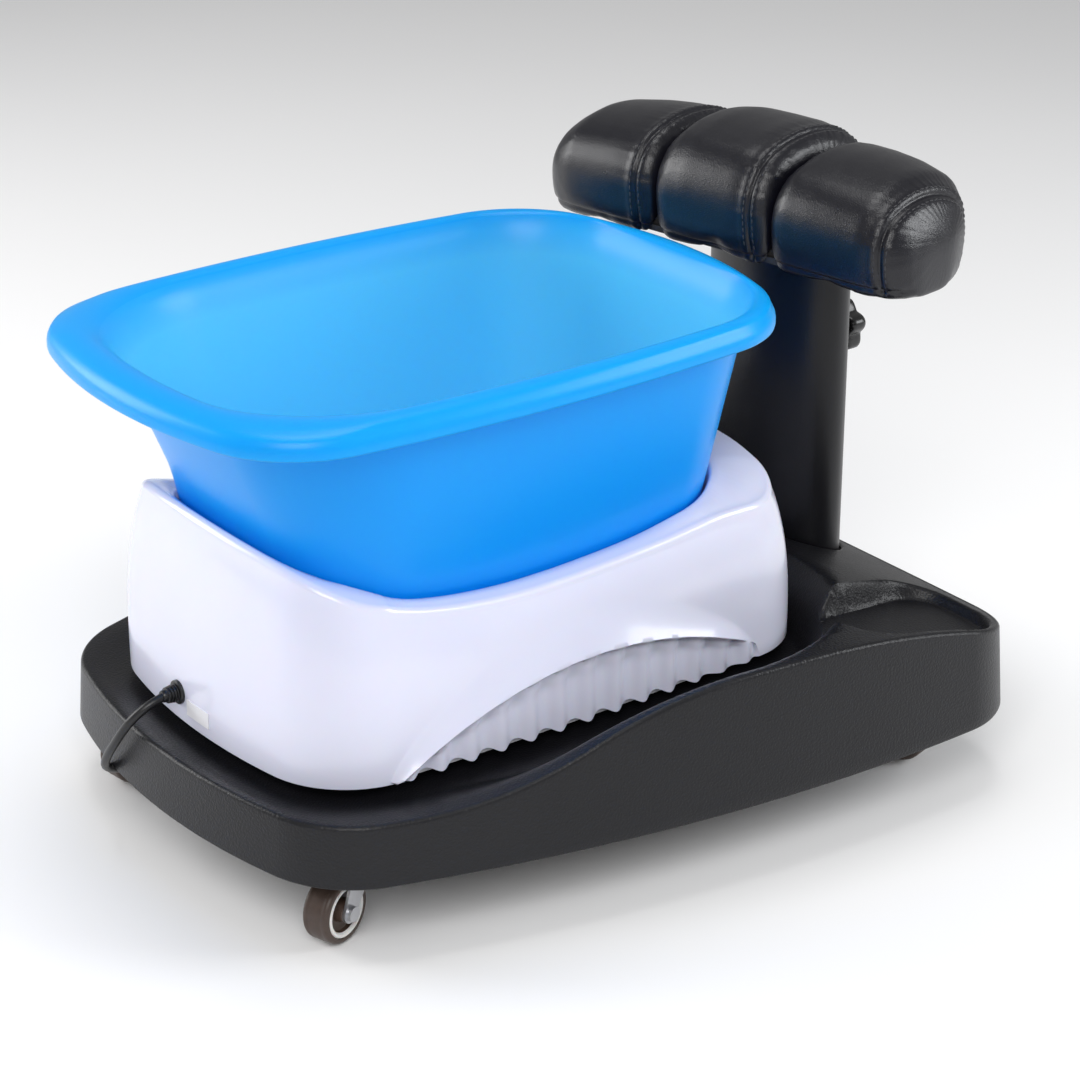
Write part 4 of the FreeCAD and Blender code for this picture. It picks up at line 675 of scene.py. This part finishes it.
# Basin. A loose basin in translucent azure polypropylene, injection moulded with a 3 mm wall, a
# broad turned-down rim with a thick rolled lip, and a floor that curves up into the walls. It
# drops into the cradle and is held by its own weight.
basin_counts = (40, 40, 70, 40, 40)
wall_line, wall_ways = oval(-166, 189, 132, 10, 1500, 420, 900, 88, 74, basin_counts)
rim_line, rim_ways = oval(-212, 206, 151, -9, 1240, 360, 270, 70, 72, basin_counts)


front_lean = 19.0
lean_start = 228.0
forward_facing = np.clip(-wall_ways[:, 0], 0.0, 1.0) ** 1.5


def basin_ring(to_rim, wall_inset, rim_inset, height):
    """One ring of the basin, from the wall's outline (0) to the rim's outline (1), each drawn in.
    Above the cradle the front wall leans further forward, by 19 mm at the rim."""
    wall = wall_line - wall_ways * wall_inset
    wall[:, 0] -= front_lean * np.clip((height - lean_start) / 86.0, 0.0, 1.0) ** 1.15 * forward_facing
    rim = rim_line - rim_ways * rim_inset
    return np.column_stack([wall * (1 - to_rim) + rim * to_rim, np.full(len(wall), float(height))])


wall_thickness = 3.3
rings = []
floor_edge = basin_ring(0.0, basin_draft(128.0) + 16.0, 0.0, 128.0)
floor_middle = floor_edge[:, :2].mean(axis=0)
for share in (0.08, 0.3, 0.55, 0.8, 1.0):
    ring = floor_edge.copy()
    ring[:, :2] = floor_middle + share * (ring[:, :2] - floor_middle)
    rings.append(ring)
for turn in np.radians((-75, -60, -45, -30, -15, 0)):
    inset = basin_draft(144.0) + 14.4 * (1 - np.cos(turn))
    rings.append(basin_ring(0.0, inset, 0.0, 144.0 + 16.0 * np.sin(turn)))
for height in np.linspace(152.0, 303.0, 16):
    rings.append(basin_ring(0.0, basin_draft(height), 0.0, height))
for to_rim, wall_in, rim_in, height in (
        (0.0, 2.2, 0.0, 308.4), (0.04, 0.9, 0.0, 312.4), (0.14, 0.0, 0.0, 315.7), (0.30, 0.0, 0.0, 317.5),
        (0.50, 0.0, 0.0, 317.6), (0.68, 0.0, 0.0, 316.6), (0.82, 0.0, 0.6, 314.6), (0.90, 0.0, 1.4, 312.2),
        (1.0, 0.0, 3.2, 309.5), (1.0, 0.0, 3.1, 306.4), (1.0, 0.0, 2.4, 305.2), (1.0, 0.0, 1.3, 304.9),
        (1.0, 0.0, 0.4, 305.6), (1.0, 0.0, 0.0, 307.2), (1.0, 0.0, 0.0, 309.8), (1.0, 0.0, 0.5, 312.4),
        (1.0, 0.0, 1.5, 314.7), (1.0, 0.0, 3.0, 316.8), (0.82, 0.0, 0.5, 318.2), (0.74, 0.0, 0.0, 319.2),
        (0.64, 0.0, 0.0, 320.1), (0.52, 0.0, 0.0, 320.8), (0.40, 0.0, 0.0, 321.0), (0.28, 0.0, 0.0, 320.7),
        (0.16, 0.0, 0.0, 319.8), (0.07, 0.0, 0.0, 318.3), (0.0, 0.4, 0.0, 316.4), (0.0, 2.0, 0.0, 313.8),
        (0.0, 3.8, 0.0, 310.6), (0.0, 5.4, 0.0, 306.6), (0.0, 7.0, 0.0, 301.5), (0.0, 8.6, 0.0, 295.0),
        (0.0, 10.5, 0.0, 286.0)):
    rings.append(basin_ring(to_rim, wall_in, rim_in, height))
for height in np.linspace(276.0, 158.0, 12):
    rings.append(basin_ring(0.0, basin_draft(height) + wall_thickness, 0.0, height))
for turn in np.radians((0, -20, -40, -60, -78)):
    inset = basin_draft(146.0) + wall_thickness + 15.0 * (1 - np.cos(turn))
    rings.append(basin_ring(0.0, inset, 0.0, 146.0 + 15.0 * np.sin(turn)))
for share in (0.93, 0.7, 0.4, 0.12):
    ring = basin_ring(0.0, basin_draft(131.0) + 16.0, 0.0, 131.0)
    ring[:, :2] = floor_middle + share * (ring[:, :2] - floor_middle)
    rings.append(ring)
basin = stacked("foot_basin", place(np.stack(rings)), 60.0)


def polypropylene(name, colour, start, slope, marks_share, low, high):
    """The basin's plastic: lets some light through, has faint flow marks, and its colour goes from low to high
    with height, from start and by slope per metre: light and shade painted into the wall by height."""
    finish = Finish(name, colour, 0.26, transmission_weight=0.10, subsurface_weight=0.40,
                    subsurface_scale=0.012, specular_ior_level=0.20)
    finish.shader.inputs["Subsurface Radius"].default_value = (0.15, 0.6, 1.0)
    marks = finish.noise(0.09, 3.0)
    height = finish.node("ShaderNodeSeparateXYZ", {}, {"Vector": finish.place}, output=2)
    # Painted light and shade: the colour is set by height alone, not by any change in the plastic.
    finish.feed(base_color=finish.blend((height - start) * slope + marks_share * marks, low, high),
                roughness=0.26 + 0.10 * marks,
                normal=finish.relief(finish.noise(0.0016, 0.0), 0.00004, 0.4))
    return finish


# The outer wall is painted darker low down and lighter towards the rim; the inner faces get a lighter copy of the
# same plastic, painted light, darkening only just below the rim.
for finish in (
        polypropylene("basin_polypropylene", (0.010, 0.38, 0.96), 0.13, 5.0, 0.2,
                      (0.002, 0.27, 0.93), (0.004, 0.37, 0.97)),
        polypropylene("basin_inner_face_painted_light", (0.060, 0.52, 0.96), 0.319, -40.0, 0.1,
                      (0.004, 0.37, 0.97), (0.105, 0.58, 0.98))):
    basin.data.materials.append(finish.material)
face_count = len(basin.data.polygons)
middles = np.empty(face_count * 3)
outwards = np.empty(face_count * 3)
basin.data.polygons.foreach_get("center", middles)
basin.data.polygons.foreach_get("normal", outwards)
middles = middles.reshape(-1, 3)
outwards = outwards.reshape(-1, 3)
from_centre = middles[:, :2] - middles[:, :2].mean(axis=0)
from_centre = from_centre / np.linalg.norm(from_centre, axis=1)[:, None]
# Faces looking into the basin, and upward faces low down, take the lighter inner copy: painted light.
looks_in = np.einsum("ij,ij->i", outwards[:, :2], from_centre) < -0.15
is_inside = (looks_in & (middles[:, 2] < 0.319)) | ((outwards[:, 2] > 0.15) & (middles[:, 2] < 0.26))
basin.data.polygons.foreach_set("material_index", is_inside.astype(np.int32))
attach(basin, "basin")
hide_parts("basin")


# Column. A black oval plastic extrusion over a steel foot plate, a little narrower at the top,
# with a moulded bush in its mouth that guides the footrest's post.
def column_ring(inset, height):
    narrowing = inset + 1.2 * (height - 66.0) / 249.0
    turn = np.linspace(0.0, 2.0 * np.pi, 160, endpoint=False)
    return np.column_stack([column_x + (30.0 - narrowing) * np.cos(turn), (62.0 - narrowing) * np.sin(turn),
                            np.full(160, float(height))])


rings = [column_ring(3.0, height) for height in (66.2, 150.0, 280.9)]
rings.insert(0, column_ring(2.8, 66.0))
rings.insert(0, column_ring(0.2, 66.0))
for height in np.linspace(312.6, 67.0, 12):
    rings.insert(0, column_ring(0.0, height))
for inset, height in ((0.35, 313.8), (0.9, 314.6), (1.8, 315.0), (3.0, 315.0), (3.0, 300.0)):
    rings.insert(0, column_ring(inset, height))
column_piece = stacked("column_sleeve", place(np.stack(rings)), 50.0, close_rows=True)
column_paint = Finish("column_coating", (0.006, 0.006, 0.007), 0.34, specular_ior_level=0.35)
column_haze = column_paint.noise(0.04, 4.0)
column_paint.feed(
    base_color=column_paint.blend(column_haze, (0.004, 0.004, 0.005), (0.008, 0.008, 0.010)),
    roughness=0.30 + 0.10 * column_haze,
    normal=column_paint.relief(column_paint.noise(0.0016, 1.0), 0.00010, 0.5))
column_piece.data.materials.append(column_paint.material)
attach(column_piece, "cart")
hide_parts("column_tube")


# Clamp knob. A five-lobed knob moulded in black phenolic on a steel stud behind the column; it
# presses a shoe against the post to hold the footrest at its height.
clamp_height = 236.0
knob_turn = np.linspace(0.0, 2.0 * np.pi, 150, endpoint=False)
knob_lobe = 0.5 + 0.5 * np.cos(5.0 * (knob_turn - np.pi / 2.0))
knob_lobe = knob_lobe ** 0.8


def knob_ring(inner, lobed, along_axis):
    """Radius inner plus lobed times the lobe curve, at one place along the stud."""
    reach = inner + lobed * knob_lobe
    return np.column_stack([np.full(150, along_axis), reach * np.cos(knob_turn),
                            clamp_height + reach * np.sin(knob_turn)])


knob_rows = ((4.2, 0.0, 315.8), (7.4, 0.0, 315.8), (8.0, 0.0, 316.4), (8.0, 0.0, 330.0), (8.3, 0.0, 333.0),
             (9.2, 0.4, 335.0), (10.6, 2.0, 336.0), (11.6, 3.6, 336.3), (12.6, 4.5, 337.2), (13.1, 4.8, 338.8),
             (13.2, 4.8, 341.0), (13.2, 4.8, 345.0), (13.1, 4.8, 347.2), (12.6, 4.5, 348.8), (11.6, 3.9, 349.7),
             (10.2, 2.8, 350.0), (8.6, 0.8, 349.9), (7.8, 0.0, 349.4), (7.2, 0.0, 349.0), (2.0, 0.0, 348.8))
knob = stacked("clamp_handwheel", place(np.stack([knob_ring(*row) for row in knob_rows])), 50.0)
phenolic = Finish("knob_phenolic", (0.012, 0.012, 0.012), 0.24)
phenolic_haze = phenolic.noise(0.008, 3.0)
phenolic.feed(base_color=phenolic.blend(phenolic_haze, (0.005, 0.005, 0.005), (0.010, 0.010, 0.011)),
              roughness=0.20 + 0.14 * phenolic_haze, normal=phenolic.relief(phenolic.noise(0.0012), 0.00006, 0.5))
knob.data.materials.append(phenolic.material)
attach(knob, "clamp_screw")
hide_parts("clamp_knob")


# Cord grommet. A short black rubber strain relief snapped into the cradle's front wall, ribbed
# and tapered towards the cord.
gland_profile = [(2.8, 12.0), (3.4, 12.0), (3.7, 11.6), (3.9, 10.2)]
for height in (9.4, 7.6, 5.8, 4.0):
    taper = (9.4 - height) * 0.14
    gland_profile += [(4.0 + taper, height), (4.9 + taper, height - 0.3),
                      (5.0 + taper, height - 0.9), (4.1 + taper, height - 1.2)]
gland_profile += [(5.6, 2.6), (6.8, 2.5), (7.4, 2.1), (7.5, 1.2), (7.5, -0.4), (3.0, -0.4)]
gland = turned("cord_grommet", gland_profile, (-171.4, 13.0, 110.0), (-1.0, 0.0, 0.0), 48)
grommet_rubber = Finish("grommet_rubber", (0.010, 0.010, 0.011), 0.30)
grommet_haze = grommet_rubber.noise(0.006, 3.0)
grommet_rubber.feed(roughness=0.24 + 0.16 * grommet_haze,
                    base_color=grommet_rubber.blend(grommet_haze, (0.008, 0.008, 0.009), (0.016, 0.016, 0.017)),
                    normal=grommet_rubber.relief(grommet_rubber.noise(0.001), 0.00008, 0.4))
gland.data.materials.append(grommet_rubber.material)
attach(gland, "cart")
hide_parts("cord_gland")


# Caster wheels. A 40 mm wheel on each fork: a broad brown rubber tread pressed on a core whose
# outer ring is white nylon and whose disc and hub are brown, turning on a steel axle.
tread_rubber = Finish("tread_rubber", (0.050, 0.030, 0.022), 0.42)
tread_wear = tread_rubber.noise(0.004, 5.0)
tread_rubber.feed(
    base_color=tread_rubber.blend(tread_wear, (0.036, 0.022, 0.017), (0.075, 0.048, 0.036)),
    roughness=0.34 + 0.22 * tread_wear,
    normal=tread_rubber.relief(tread_rubber.noise(0.0007), 0.00010, 0.6))
ring_nylon = Finish("ring_nylon", (0.80, 0.80, 0.79), 0.36, subsurface_weight=0.1, subsurface_scale=0.002)
ring_scuff = ring_nylon.noise(0.003, 5.0)
ring_nylon.feed(base_color=ring_nylon.blend(ring_scuff, (0.68, 0.67, 0.65), (0.86, 0.86, 0.85)),
                roughness=0.30 + 0.2 * ring_scuff, normal=ring_nylon.relief(ring_nylon.noise(0.0009), 0.00005, 0.5))
disc_plastic = Finish("disc_plastic", (0.060, 0.036, 0.026), 0.38)
disc_scuff = disc_plastic.noise(0.003, 4.0)
disc_plastic.feed(base_color=disc_plastic.blend(disc_scuff, (0.045, 0.027, 0.020), (0.080, 0.050, 0.038)),
                  roughness=0.30 + 0.2 * disc_scuff,
                  normal=disc_plastic.relief(disc_plastic.noise(0.0008), 0.00006, 0.5))
tyre_profile = np.concatenate([
    [(16.3, -8.6)], corner_arc(17.2, -6.2, 2.8, -100, -10, 7), [(20.0, -5.4)],
    corner_arc(-60.0, 0.0, 80.0, -3.6, 3.6, 9), [(20.0, 5.4)],
    corner_arc(17.2, 6.2, 2.8, 10, 100, 7), [(16.3, 8.6)]])
core_profile = np.array([
    (3.05, -10.0), (5.9, -10.0), (6.5, -9.4), (6.6, -5.4), (7.4, -4.2), (12.2, -4.2), (12.8, -4.6), (13.0, -7.4),
    (13.4, -8.4), (14.2, -9.0), (15.4, -9.0), (16.0, -8.5), (16.29, -7.8), (16.29, 7.8), (16.0, 8.5), (15.4, 9.0),
    (14.2, 9.0), (13.4, 8.4), (13.0, 7.4), (12.8, 4.6), (12.2, 4.2), (7.4, 4.2), (6.6, 5.4), (6.5, 9.4), (5.9, 10.0),
    (3.05, 10.0)])
wheel_radius = 20.0
caster_trail = 15.0
for number, name, kingpin, swivel in (
        (1, "front_near", (-138.0, -117.0), 20.0), (2, "front_far", (-138.0, 117.0), 8.0),
        (3, "rear_near", (260.0, -144.0), 105.0), (4, "rear_far", (260.0, 144.0), -25.0)):
    turn = math.radians(swivel)
    hub = (kingpin[0] - caster_trail * math.cos(turn), kingpin[1] - caster_trail * math.sin(turn), wheel_radius)
    axle = (-math.sin(turn), math.cos(turn), 0.0)
    tyre = turned("tyre_" + name, tyre_profile, hub, axle, 112, close_rows=True)
    tyre.data.materials.append(tread_rubber.material)
    core = turned("core_" + name, core_profile, hub, axle, 96, close_rows=True)
    core.data.materials.append(disc_plastic.material)
    core.data.materials.append(ring_nylon.material)
    rows = len(core_profile)
    band = np.repeat(np.arange(rows), 96)
    core.data.polygons.foreach_set("material_index", ((band >= 7) & (band <= 17)).astype(np.int32))
    for piece, node, slot in ((tyre, "wheel_tyre_", "wheel_tyre"), (core, "wheel_core_", "wheel_core")):
        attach(piece, "wheel_" + name)
        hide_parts(node + str(number))


# Footrest pads. Three foam pads covered in black grained leathercloth, each a top panel with a
# narrow gusset towards the near side, joined by a seam with a row of topstitching along each
# side of it. The cover is stretched over the foam and stapled under the board.
def turned_round(points):
    """The footrest stands 9 degrees round on its post: a turn about the upright line at x 284."""
    turn = math.radians(9.0)
    across = points[..., 0] - column_x
    along = points[..., 1]
    return np.stack([column_x + across * math.cos(turn) - along * math.sin(turn),
                     across * math.sin(turn) + along * math.cos(turn), points[..., 2]], axis=-1)


def pad_section(half, height, tuck, count):
    """Closed section in x and z: flat below, one arc up each face, one over the top."""
    def through(start, via, end, steps):
        (ax, az), (bx, bz), (cx, cz) = start, via, end
        a_square, b_square, c_square = ax ** 2 + az ** 2, bx ** 2 + bz ** 2, cx ** 2 + cz ** 2
        d = 2 * (ax * (bz - cz) + bx * (cz - az) + cx * (az - bz))
        mx = (a_square * (bz - cz) + b_square * (cz - az) + c_square * (az - bz)) / d
        mz = (a_square * (cx - bx) + b_square * (ax - cx) + c_square * (bx - ax)) / d
        first = math.atan2(az - mz, ax - mx)
        last = math.atan2(cz - mz, cx - mx)
        if last > first:
            last -= 2 * math.pi
        turn = np.linspace(first, last, steps, endpoint=False)
        reach = math.hypot(ax - mx, az - mz)
        return np.stack([mx + reach * np.cos(turn), mz + reach * np.sin(turn)], axis=1)

    face = through((-half + tuck, 0.0), (-half, 0.42 * height), (-0.7 * half, 0.86 * height), count)
    top = through((-0.7 * half, 0.86 * height), (0.0, height), (0.7 * half, 0.86 * height), count)
    back = face[::-1] * (-1.0, 1.0)
    floor_line = np.linspace(half - tuck, -half + tuck, count + 1)[1:-1]
    return np.concatenate([face, top, back, np.stack([floor_line, np.zeros(len(floor_line))], axis=1)])


leather = Finish("pad_leathercloth", (0.004, 0.004, 0.007), 0.30, specular_ior_level=0.50)
grain = leather.cells(0.0013, "DISTANCE_TO_EDGE", 1.0)
fine_grain = leather.cells(0.0006, "F1", 1.0)
creases_and_painted_shade = leather.noise(0.010, 5.0)
# The colour is darker where the crease relief is low: painted shade in the crease hollows.
leather.feed(
    base_color=leather.blend(creases_and_painted_shade, (0.0025, 0.0025, 0.0055), (0.0055, 0.0055, 0.0100)),
    roughness=0.24 + 0.12 * creases_and_painted_shade,
    normal=leather.relief(grain * 1.6 + 0.25 * fine_grain + 0.35 * creases_and_painted_shade, 0.00018, 0.55))
thread = Finish("seam_thread", (0.030, 0.030, 0.034), 0.55)
twist_and_painted_shade = thread.node("ShaderNodeTexWave", {"wave_type": "BANDS"}, {"Vector": thread.place, "Scale": 900.0})
# The thread is darker in the grooves of its twist: painted shade.
thread.feed(base_color=thread.blend(twist_and_painted_shade, (0.018, 0.018, 0.021), (0.050, 0.050, 0.056)),
            normal=thread.relief(twist_and_painted_shade, 0.00008, 0.6))


def swell(body, voxel, cap):
    """Cloth step: voxel remesh, inflate under pressure with no gravity, cap how far points move."""
    remesh = body.modifiers.new("remesh", "REMESH")
    remesh.mode = "VOXEL"
    remesh.voxel_size = voxel
    depsgraph = bpy.context.evaluated_depsgraph_get()
    fine = bpy.data.meshes.new_from_object(body.evaluated_get(depsgraph))
    body.modifiers.clear()
    body.data = fine
    start = np.empty(len(fine.vertices) * 3)
    fine.vertices.foreach_get("co", start)
    start = start.reshape(-1, 3)
    cloth = body.modifiers.new("cloth", "CLOTH")
    cloth.settings.use_pressure = True
    cloth.settings.uniform_pressure_force = 4.0
    cloth.settings.effector_weights.gravity = 0.0
    cloth.settings.tension_stiffness = 20.0
    cloth.settings.compression_stiffness = 20.0
    cloth.settings.bending_stiffness = 1.0
    cloth.point_cache.frame_start = 1
    cloth.point_cache.frame_end = 20
    for step in range(1, 21):
        bpy.context.scene.frame_set(step)
    depsgraph = bpy.context.evaluated_depsgraph_get()
    swollen = bpy.data.meshes.new_from_object(body.evaluated_get(depsgraph))
    moved = np.empty(len(swollen.vertices) * 3)
    swollen.vertices.foreach_get("co", moved)
    change = moved.reshape(-1, 3) - start
    length = np.linalg.norm(change, axis=1)[:, None]
    change = change * np.minimum(1.0, cap / np.maximum(length, 1e-9))
    body.modifiers.clear()
    start = start + change
    fine.vertices.foreach_set("co", start.ravel())
    bpy.context.scene.frame_set(1)
    smooth = body.modifiers.new("smooth", "SUBSURF")
    smooth.levels = 2
    smooth.render_levels = 2
    depsgraph = bpy.context.evaluated_depsgraph_get()
    body.data = bpy.data.meshes.new_from_object(body.evaluated_get(depsgraph))
    body.modifiers.clear()


pad_front, pad_rear = 204.0, 324.0
pad_middle = (pad_front + pad_rear) / 2.0
pad_foot = 322.4
half_centre = ((20.0, 1.0, 1.0, 74.0), (36.0, 2.0, 2.0, 71.0), (44.0, 5.0, 5.0, 65.0), (47.6, 9.0, 9.0, 54.0))
centre_stations = [(-y, *rest) for y, *rest in reversed(half_centre)] + [(0.0, 1.0, 1.0, 74.5)] + list(half_centre)
side_stations = ((48.4, 9.0, 9.0, 52.0), (52.0, 5.0, 5.0, 61.0), (60.0, 2.5, 2.5, 66.0), (80.0, 2.0, 3.0, 65.5),
                 (98.0, 2.0, 5.0, 64.0), (122.0, 2.0, 14.0, 61.0), (134.0, 5.0, 26.0, 53.0),
                 (142.0, 11.0, 37.0, 44.0), (147.0, 19.0, 50.0, 34.0), (149.5, 30.0, 60.0, 22.0))
mirrored_stations = [(-y, *rest) for y, *rest in reversed(side_stations)]
for name, node, low_y, high_y, seam, stations in (
        ("centre_pad", "pad_centre", -48.0, 48.0, -35.5, centre_stations),
        ("far_pad", "pad_far", 48.0, 151.0, 60.5, side_stations),
        ("near_pad", "pad_near", -151.0, -48.0, -135.5, mirrored_stations)):
    rings = []
    for y, front_in, rear_in, height in stations:
        front = pad_front + front_in
        rear = pad_rear - rear_in
        section = pad_section((rear - front) / 2.0, height - 2.0, 9.0, 14)
        rings.append(np.column_stack([(front + rear) / 2.0 + section[:, 0], np.full(len(section), y),
                                      pad_foot + section[:, 1]]))
    pad = stacked(name, np.stack(rings) / 1000.0, 60.0)
    swell(pad, 0.004, 0.0035)
    count = len(pad.data.vertices)
    points = np.empty(count * 3)
    normals = np.empty(count * 3)
    pad.data.vertices.foreach_get("co", points)
    pad.data.vertices.foreach_get("normal", normals)
    points = points.reshape(-1, 3) * 1000.0
    normals = normals.reshape(-1, 3)
    around = np.arctan2(points[:, 2] - 345.0, points[:, 0] - pad_middle)
    above = ramp(points[:, 2], 324.0, 328.0)
    off = points[:, 1] - seam
    pucker = np.sin(around * 37.0 + 1.3 * np.sin(around * 5.0)) + 0.6 * np.sin(around * 61.0 + seam)
    fade = np.exp(-np.abs(off) / 7.0) * (1.0 - np.exp(-(off / 2.5) ** 2))
    groove = -1.7 * np.exp(-(off / 1.25) ** 2) + 0.5 * np.exp(-((np.abs(off) - 4.5) / 2.6) ** 2)
    points = points + normals * ((groove + 0.22 * pucker * fade) * above)[:, None]
    hem = points[:, 2] - 328.5
    outer_face = ramp(np.abs(points[:, 0] - pad_middle), 26.0, 44.0)
    points = points - normals * (1.0 * np.exp(-(hem / 1.0) ** 2) * outer_face)[:, None]
    if node == "pad_centre":
        dip = np.exp(-((points[:, 1] + 8.0) / 30.0) ** 2 - ((points[:, 0] - 258.0) / 34.0) ** 2)
        points[:, 2] -= 2.2 * dip * ramp(points[:, 2], 370.0, 392.0)
    points[:, 1] = np.clip(points[:, 1], low_y + 0.3, high_y - 0.3)
    off_board = np.maximum(ramp(np.abs(points[:, 0] - pad_middle), 45.5, 49.5),
                           ramp(np.abs(points[:, 1]), 107.0, 114.0))
    points[:, 2] = np.maximum(points[:, 2], 321.5)
    points[:, 2] -= 9.5 * off_board * ramp(-points[:, 2], -346.0, -324.0)
    pad.data.vertices.foreach_set("co", place(turned_round(points)).ravel())
    pad.data.shade_smooth()
    pad.data.materials.clear()
    pad.data.materials.append(leather.material)
    pad.data.materials.append(thread.material)
    tree = BVHTree.FromPolygons([tuple(point) for point in points],
                                [tuple(face.vertices) for face in pad.data.polygons])
    stitches = []
    capsule = []
    for along_stitch, reach in ((-1.6, 0.05), (-1.3, 0.30), (-0.6, 0.42), (0.6, 0.42), (1.3, 0.30), (1.6, 0.05)):
        turn = np.linspace(0.0, 2.0 * np.pi, 6, endpoint=False)
        capsule.append(np.column_stack([np.full(6, along_stitch), reach * np.cos(turn), reach * np.sin(turn)]))
    capsule = np.concatenate(capsule)
    for row_y in (seam - 3.2, seam + 3.2):
        found = []
        for turn in np.linspace(math.radians(-22.0), math.radians(202.0), 260):
            way = (math.cos(turn), 0.0, math.sin(turn))
            start = (pad_middle + 150.0 * way[0], row_y, 334.0 + 150.0 * way[2])
            hit = tree.ray_cast(start, (-way[0], 0.0, -way[2]))
            if hit[0] is not None and hit[0][2] > 324.0:
                found.append((*hit[0], *hit[1]))
        found = np.array(found)
        run = np.concatenate([[0.0], np.cumsum(np.linalg.norm(np.diff(found[:, :3], axis=0), axis=1))])
        marks = np.arange(2.0, run[-1] - 2.0, 4.5)
        spots_on = np.stack([np.interp(marks, run, found[:, k]) for k in range(3)], axis=1)
        ahead = np.stack([np.interp(marks + 0.8, run, found[:, k]) for k in range(3)], axis=1) - spots_on
        ahead = ahead / np.linalg.norm(ahead, axis=1)[:, None]
        up = np.stack([np.interp(marks, run, found[:, k]) for k in range(3, 6)], axis=1)
        up = up - ahead * np.einsum("ij,ij->i", up, ahead)[:, None]
        up = up / np.linalg.norm(up, axis=1)[:, None]
        aside = np.cross(ahead, up)
        stitches.append(spots_on[:, None] + capsule[None, :, 0:1] * ahead[:, None]
                        + capsule[None, :, 1:2] * up[:, None] + capsule[None, :, 2:3] * aside[:, None])
    stitches = np.concatenate(stitches)
    one = ring_quads(6, 6)
    quads = (one[None] + 36 * np.arange(len(stitches))[:, None, None]).reshape(-1, 4)
    seam_piece = surface(name + "_stitching", place(turned_round(stitches.reshape(-1, 3))), quads)
    seam_piece.data.materials.append(thread.material)
    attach(pad, "footrest")
    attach(seam_piece, "footrest")
    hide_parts(node)


# Pieces whose CAD shape is right. They keep it, and get their real finish here: zinc-plated
# fittings, chromed post, boards, rubber feet, the heater, motor and circuit board inside.
def dress(finish, *names):
    for node in names:
        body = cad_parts[node]
        body.data.materials.clear()
        body.data.materials.append(finish.material)


def varied(name, low, high, roughness, spread, lump, grain_size, grain_depth, **constants):
    """A finish whose colour and gloss drift over lumps, with a fine relief on top."""
    finish = Finish(name, low, roughness, **constants)
    drift = finish.noise(lump, 4.0)
    finish.feed(base_color=finish.blend(drift, low, high), roughness=roughness + spread * drift,
                normal=finish.relief(finish.noise(grain_size, 3.0), grain_depth, 0.6))
    return finish


four = range(1, 5)
for name, low, high, roughness, spread, lump, grain_size, grain_depth, metallic, nodes in (
        ("zinc_plating", (0.50, 0.50, 0.52), (0.66, 0.67, 0.70), 0.26, 0.20, 0.006, 0.0008, 0.00005, 1.0,
         [kind + str(k) for kind in ("caster_fork_", "caster_axle_", "caster_plate_") for k in four]
         + ["caster_screws", "board_screws", "column_bolts", "head_screws", "housing_screws", "clamp_nut",
            "clamp_stud", "motor_bracket"]),
        ("chromed_steel", (0.60, 0.60, 0.61), (0.72, 0.72, 0.73), 0.12, 0.14, 0.02, 0.0015, 0.00003, 1.0,
         ["footrest_post", "motor_shaft", "motor_body"]),
        ("painted_steel", (0.014, 0.014, 0.015), (0.028, 0.028, 0.030), 0.40, 0.18, 0.02, 0.0012, 0.00008, 0.0,
         ["column_flange", "head_plate"]),
        ("moulded_black", (0.010, 0.010, 0.011), (0.022, 0.022, 0.023), 0.34, 0.16, 0.015, 0.0009, 0.00008, 0.0,
         ["column_bush", "clamp_shoe", "switch_bezel", "switch_rocker"]),
        ("black_fibreboard", (0.020, 0.018, 0.017), (0.050, 0.046, 0.042), 0.58, 0.20, 0.010, 0.0008, 0.00015, 0.0,
         ["base_board", "footrest_board"]),
        ("foot_rubber", (0.014, 0.014, 0.014), (0.030, 0.030, 0.030), 0.60, 0.15, 0.008, 0.0007, 0.00012, 0.0,
         ["unit_feet"]),
        ("white_undertray", (0.60, 0.61, 0.66), (0.70, 0.71, 0.76), 0.34, 0.15, 0.03, 0.0012, 0.00008, 0.0,
         ["unit_plate"]),
        ("heater_aluminium", (0.55, 0.56, 0.57), (0.72, 0.73, 0.74), 0.34, 0.18, 0.02, 0.0010, 0.00005, 1.0,
         ["heater_plate"]),
        ("turned_brass", (0.58, 0.40, 0.14), (0.72, 0.52, 0.22), 0.26, 0.16, 0.006, 0.0006, 0.00004, 1.0,
         ["motor_weight"]),
        ("solder_mask", (0.006, 0.090, 0.030), (0.012, 0.140, 0.050), 0.28, 0.20, 0.008, 0.0012, 0.00010, 0.0,
         ["circuit_board"]),
        ("blank_plate", (0.78, 0.78, 0.82), (0.86, 0.86, 0.90), 0.30, 0.16, 0.006, 0.0006, 0.00003, 0.0,
         ["label_plate"])):
    dress(varied(name, low, high, roughness, spread, lump, grain_size, grain_depth, metallic=metallic), *nodes)
dress(flex, "cord_tie", "mains_plug")
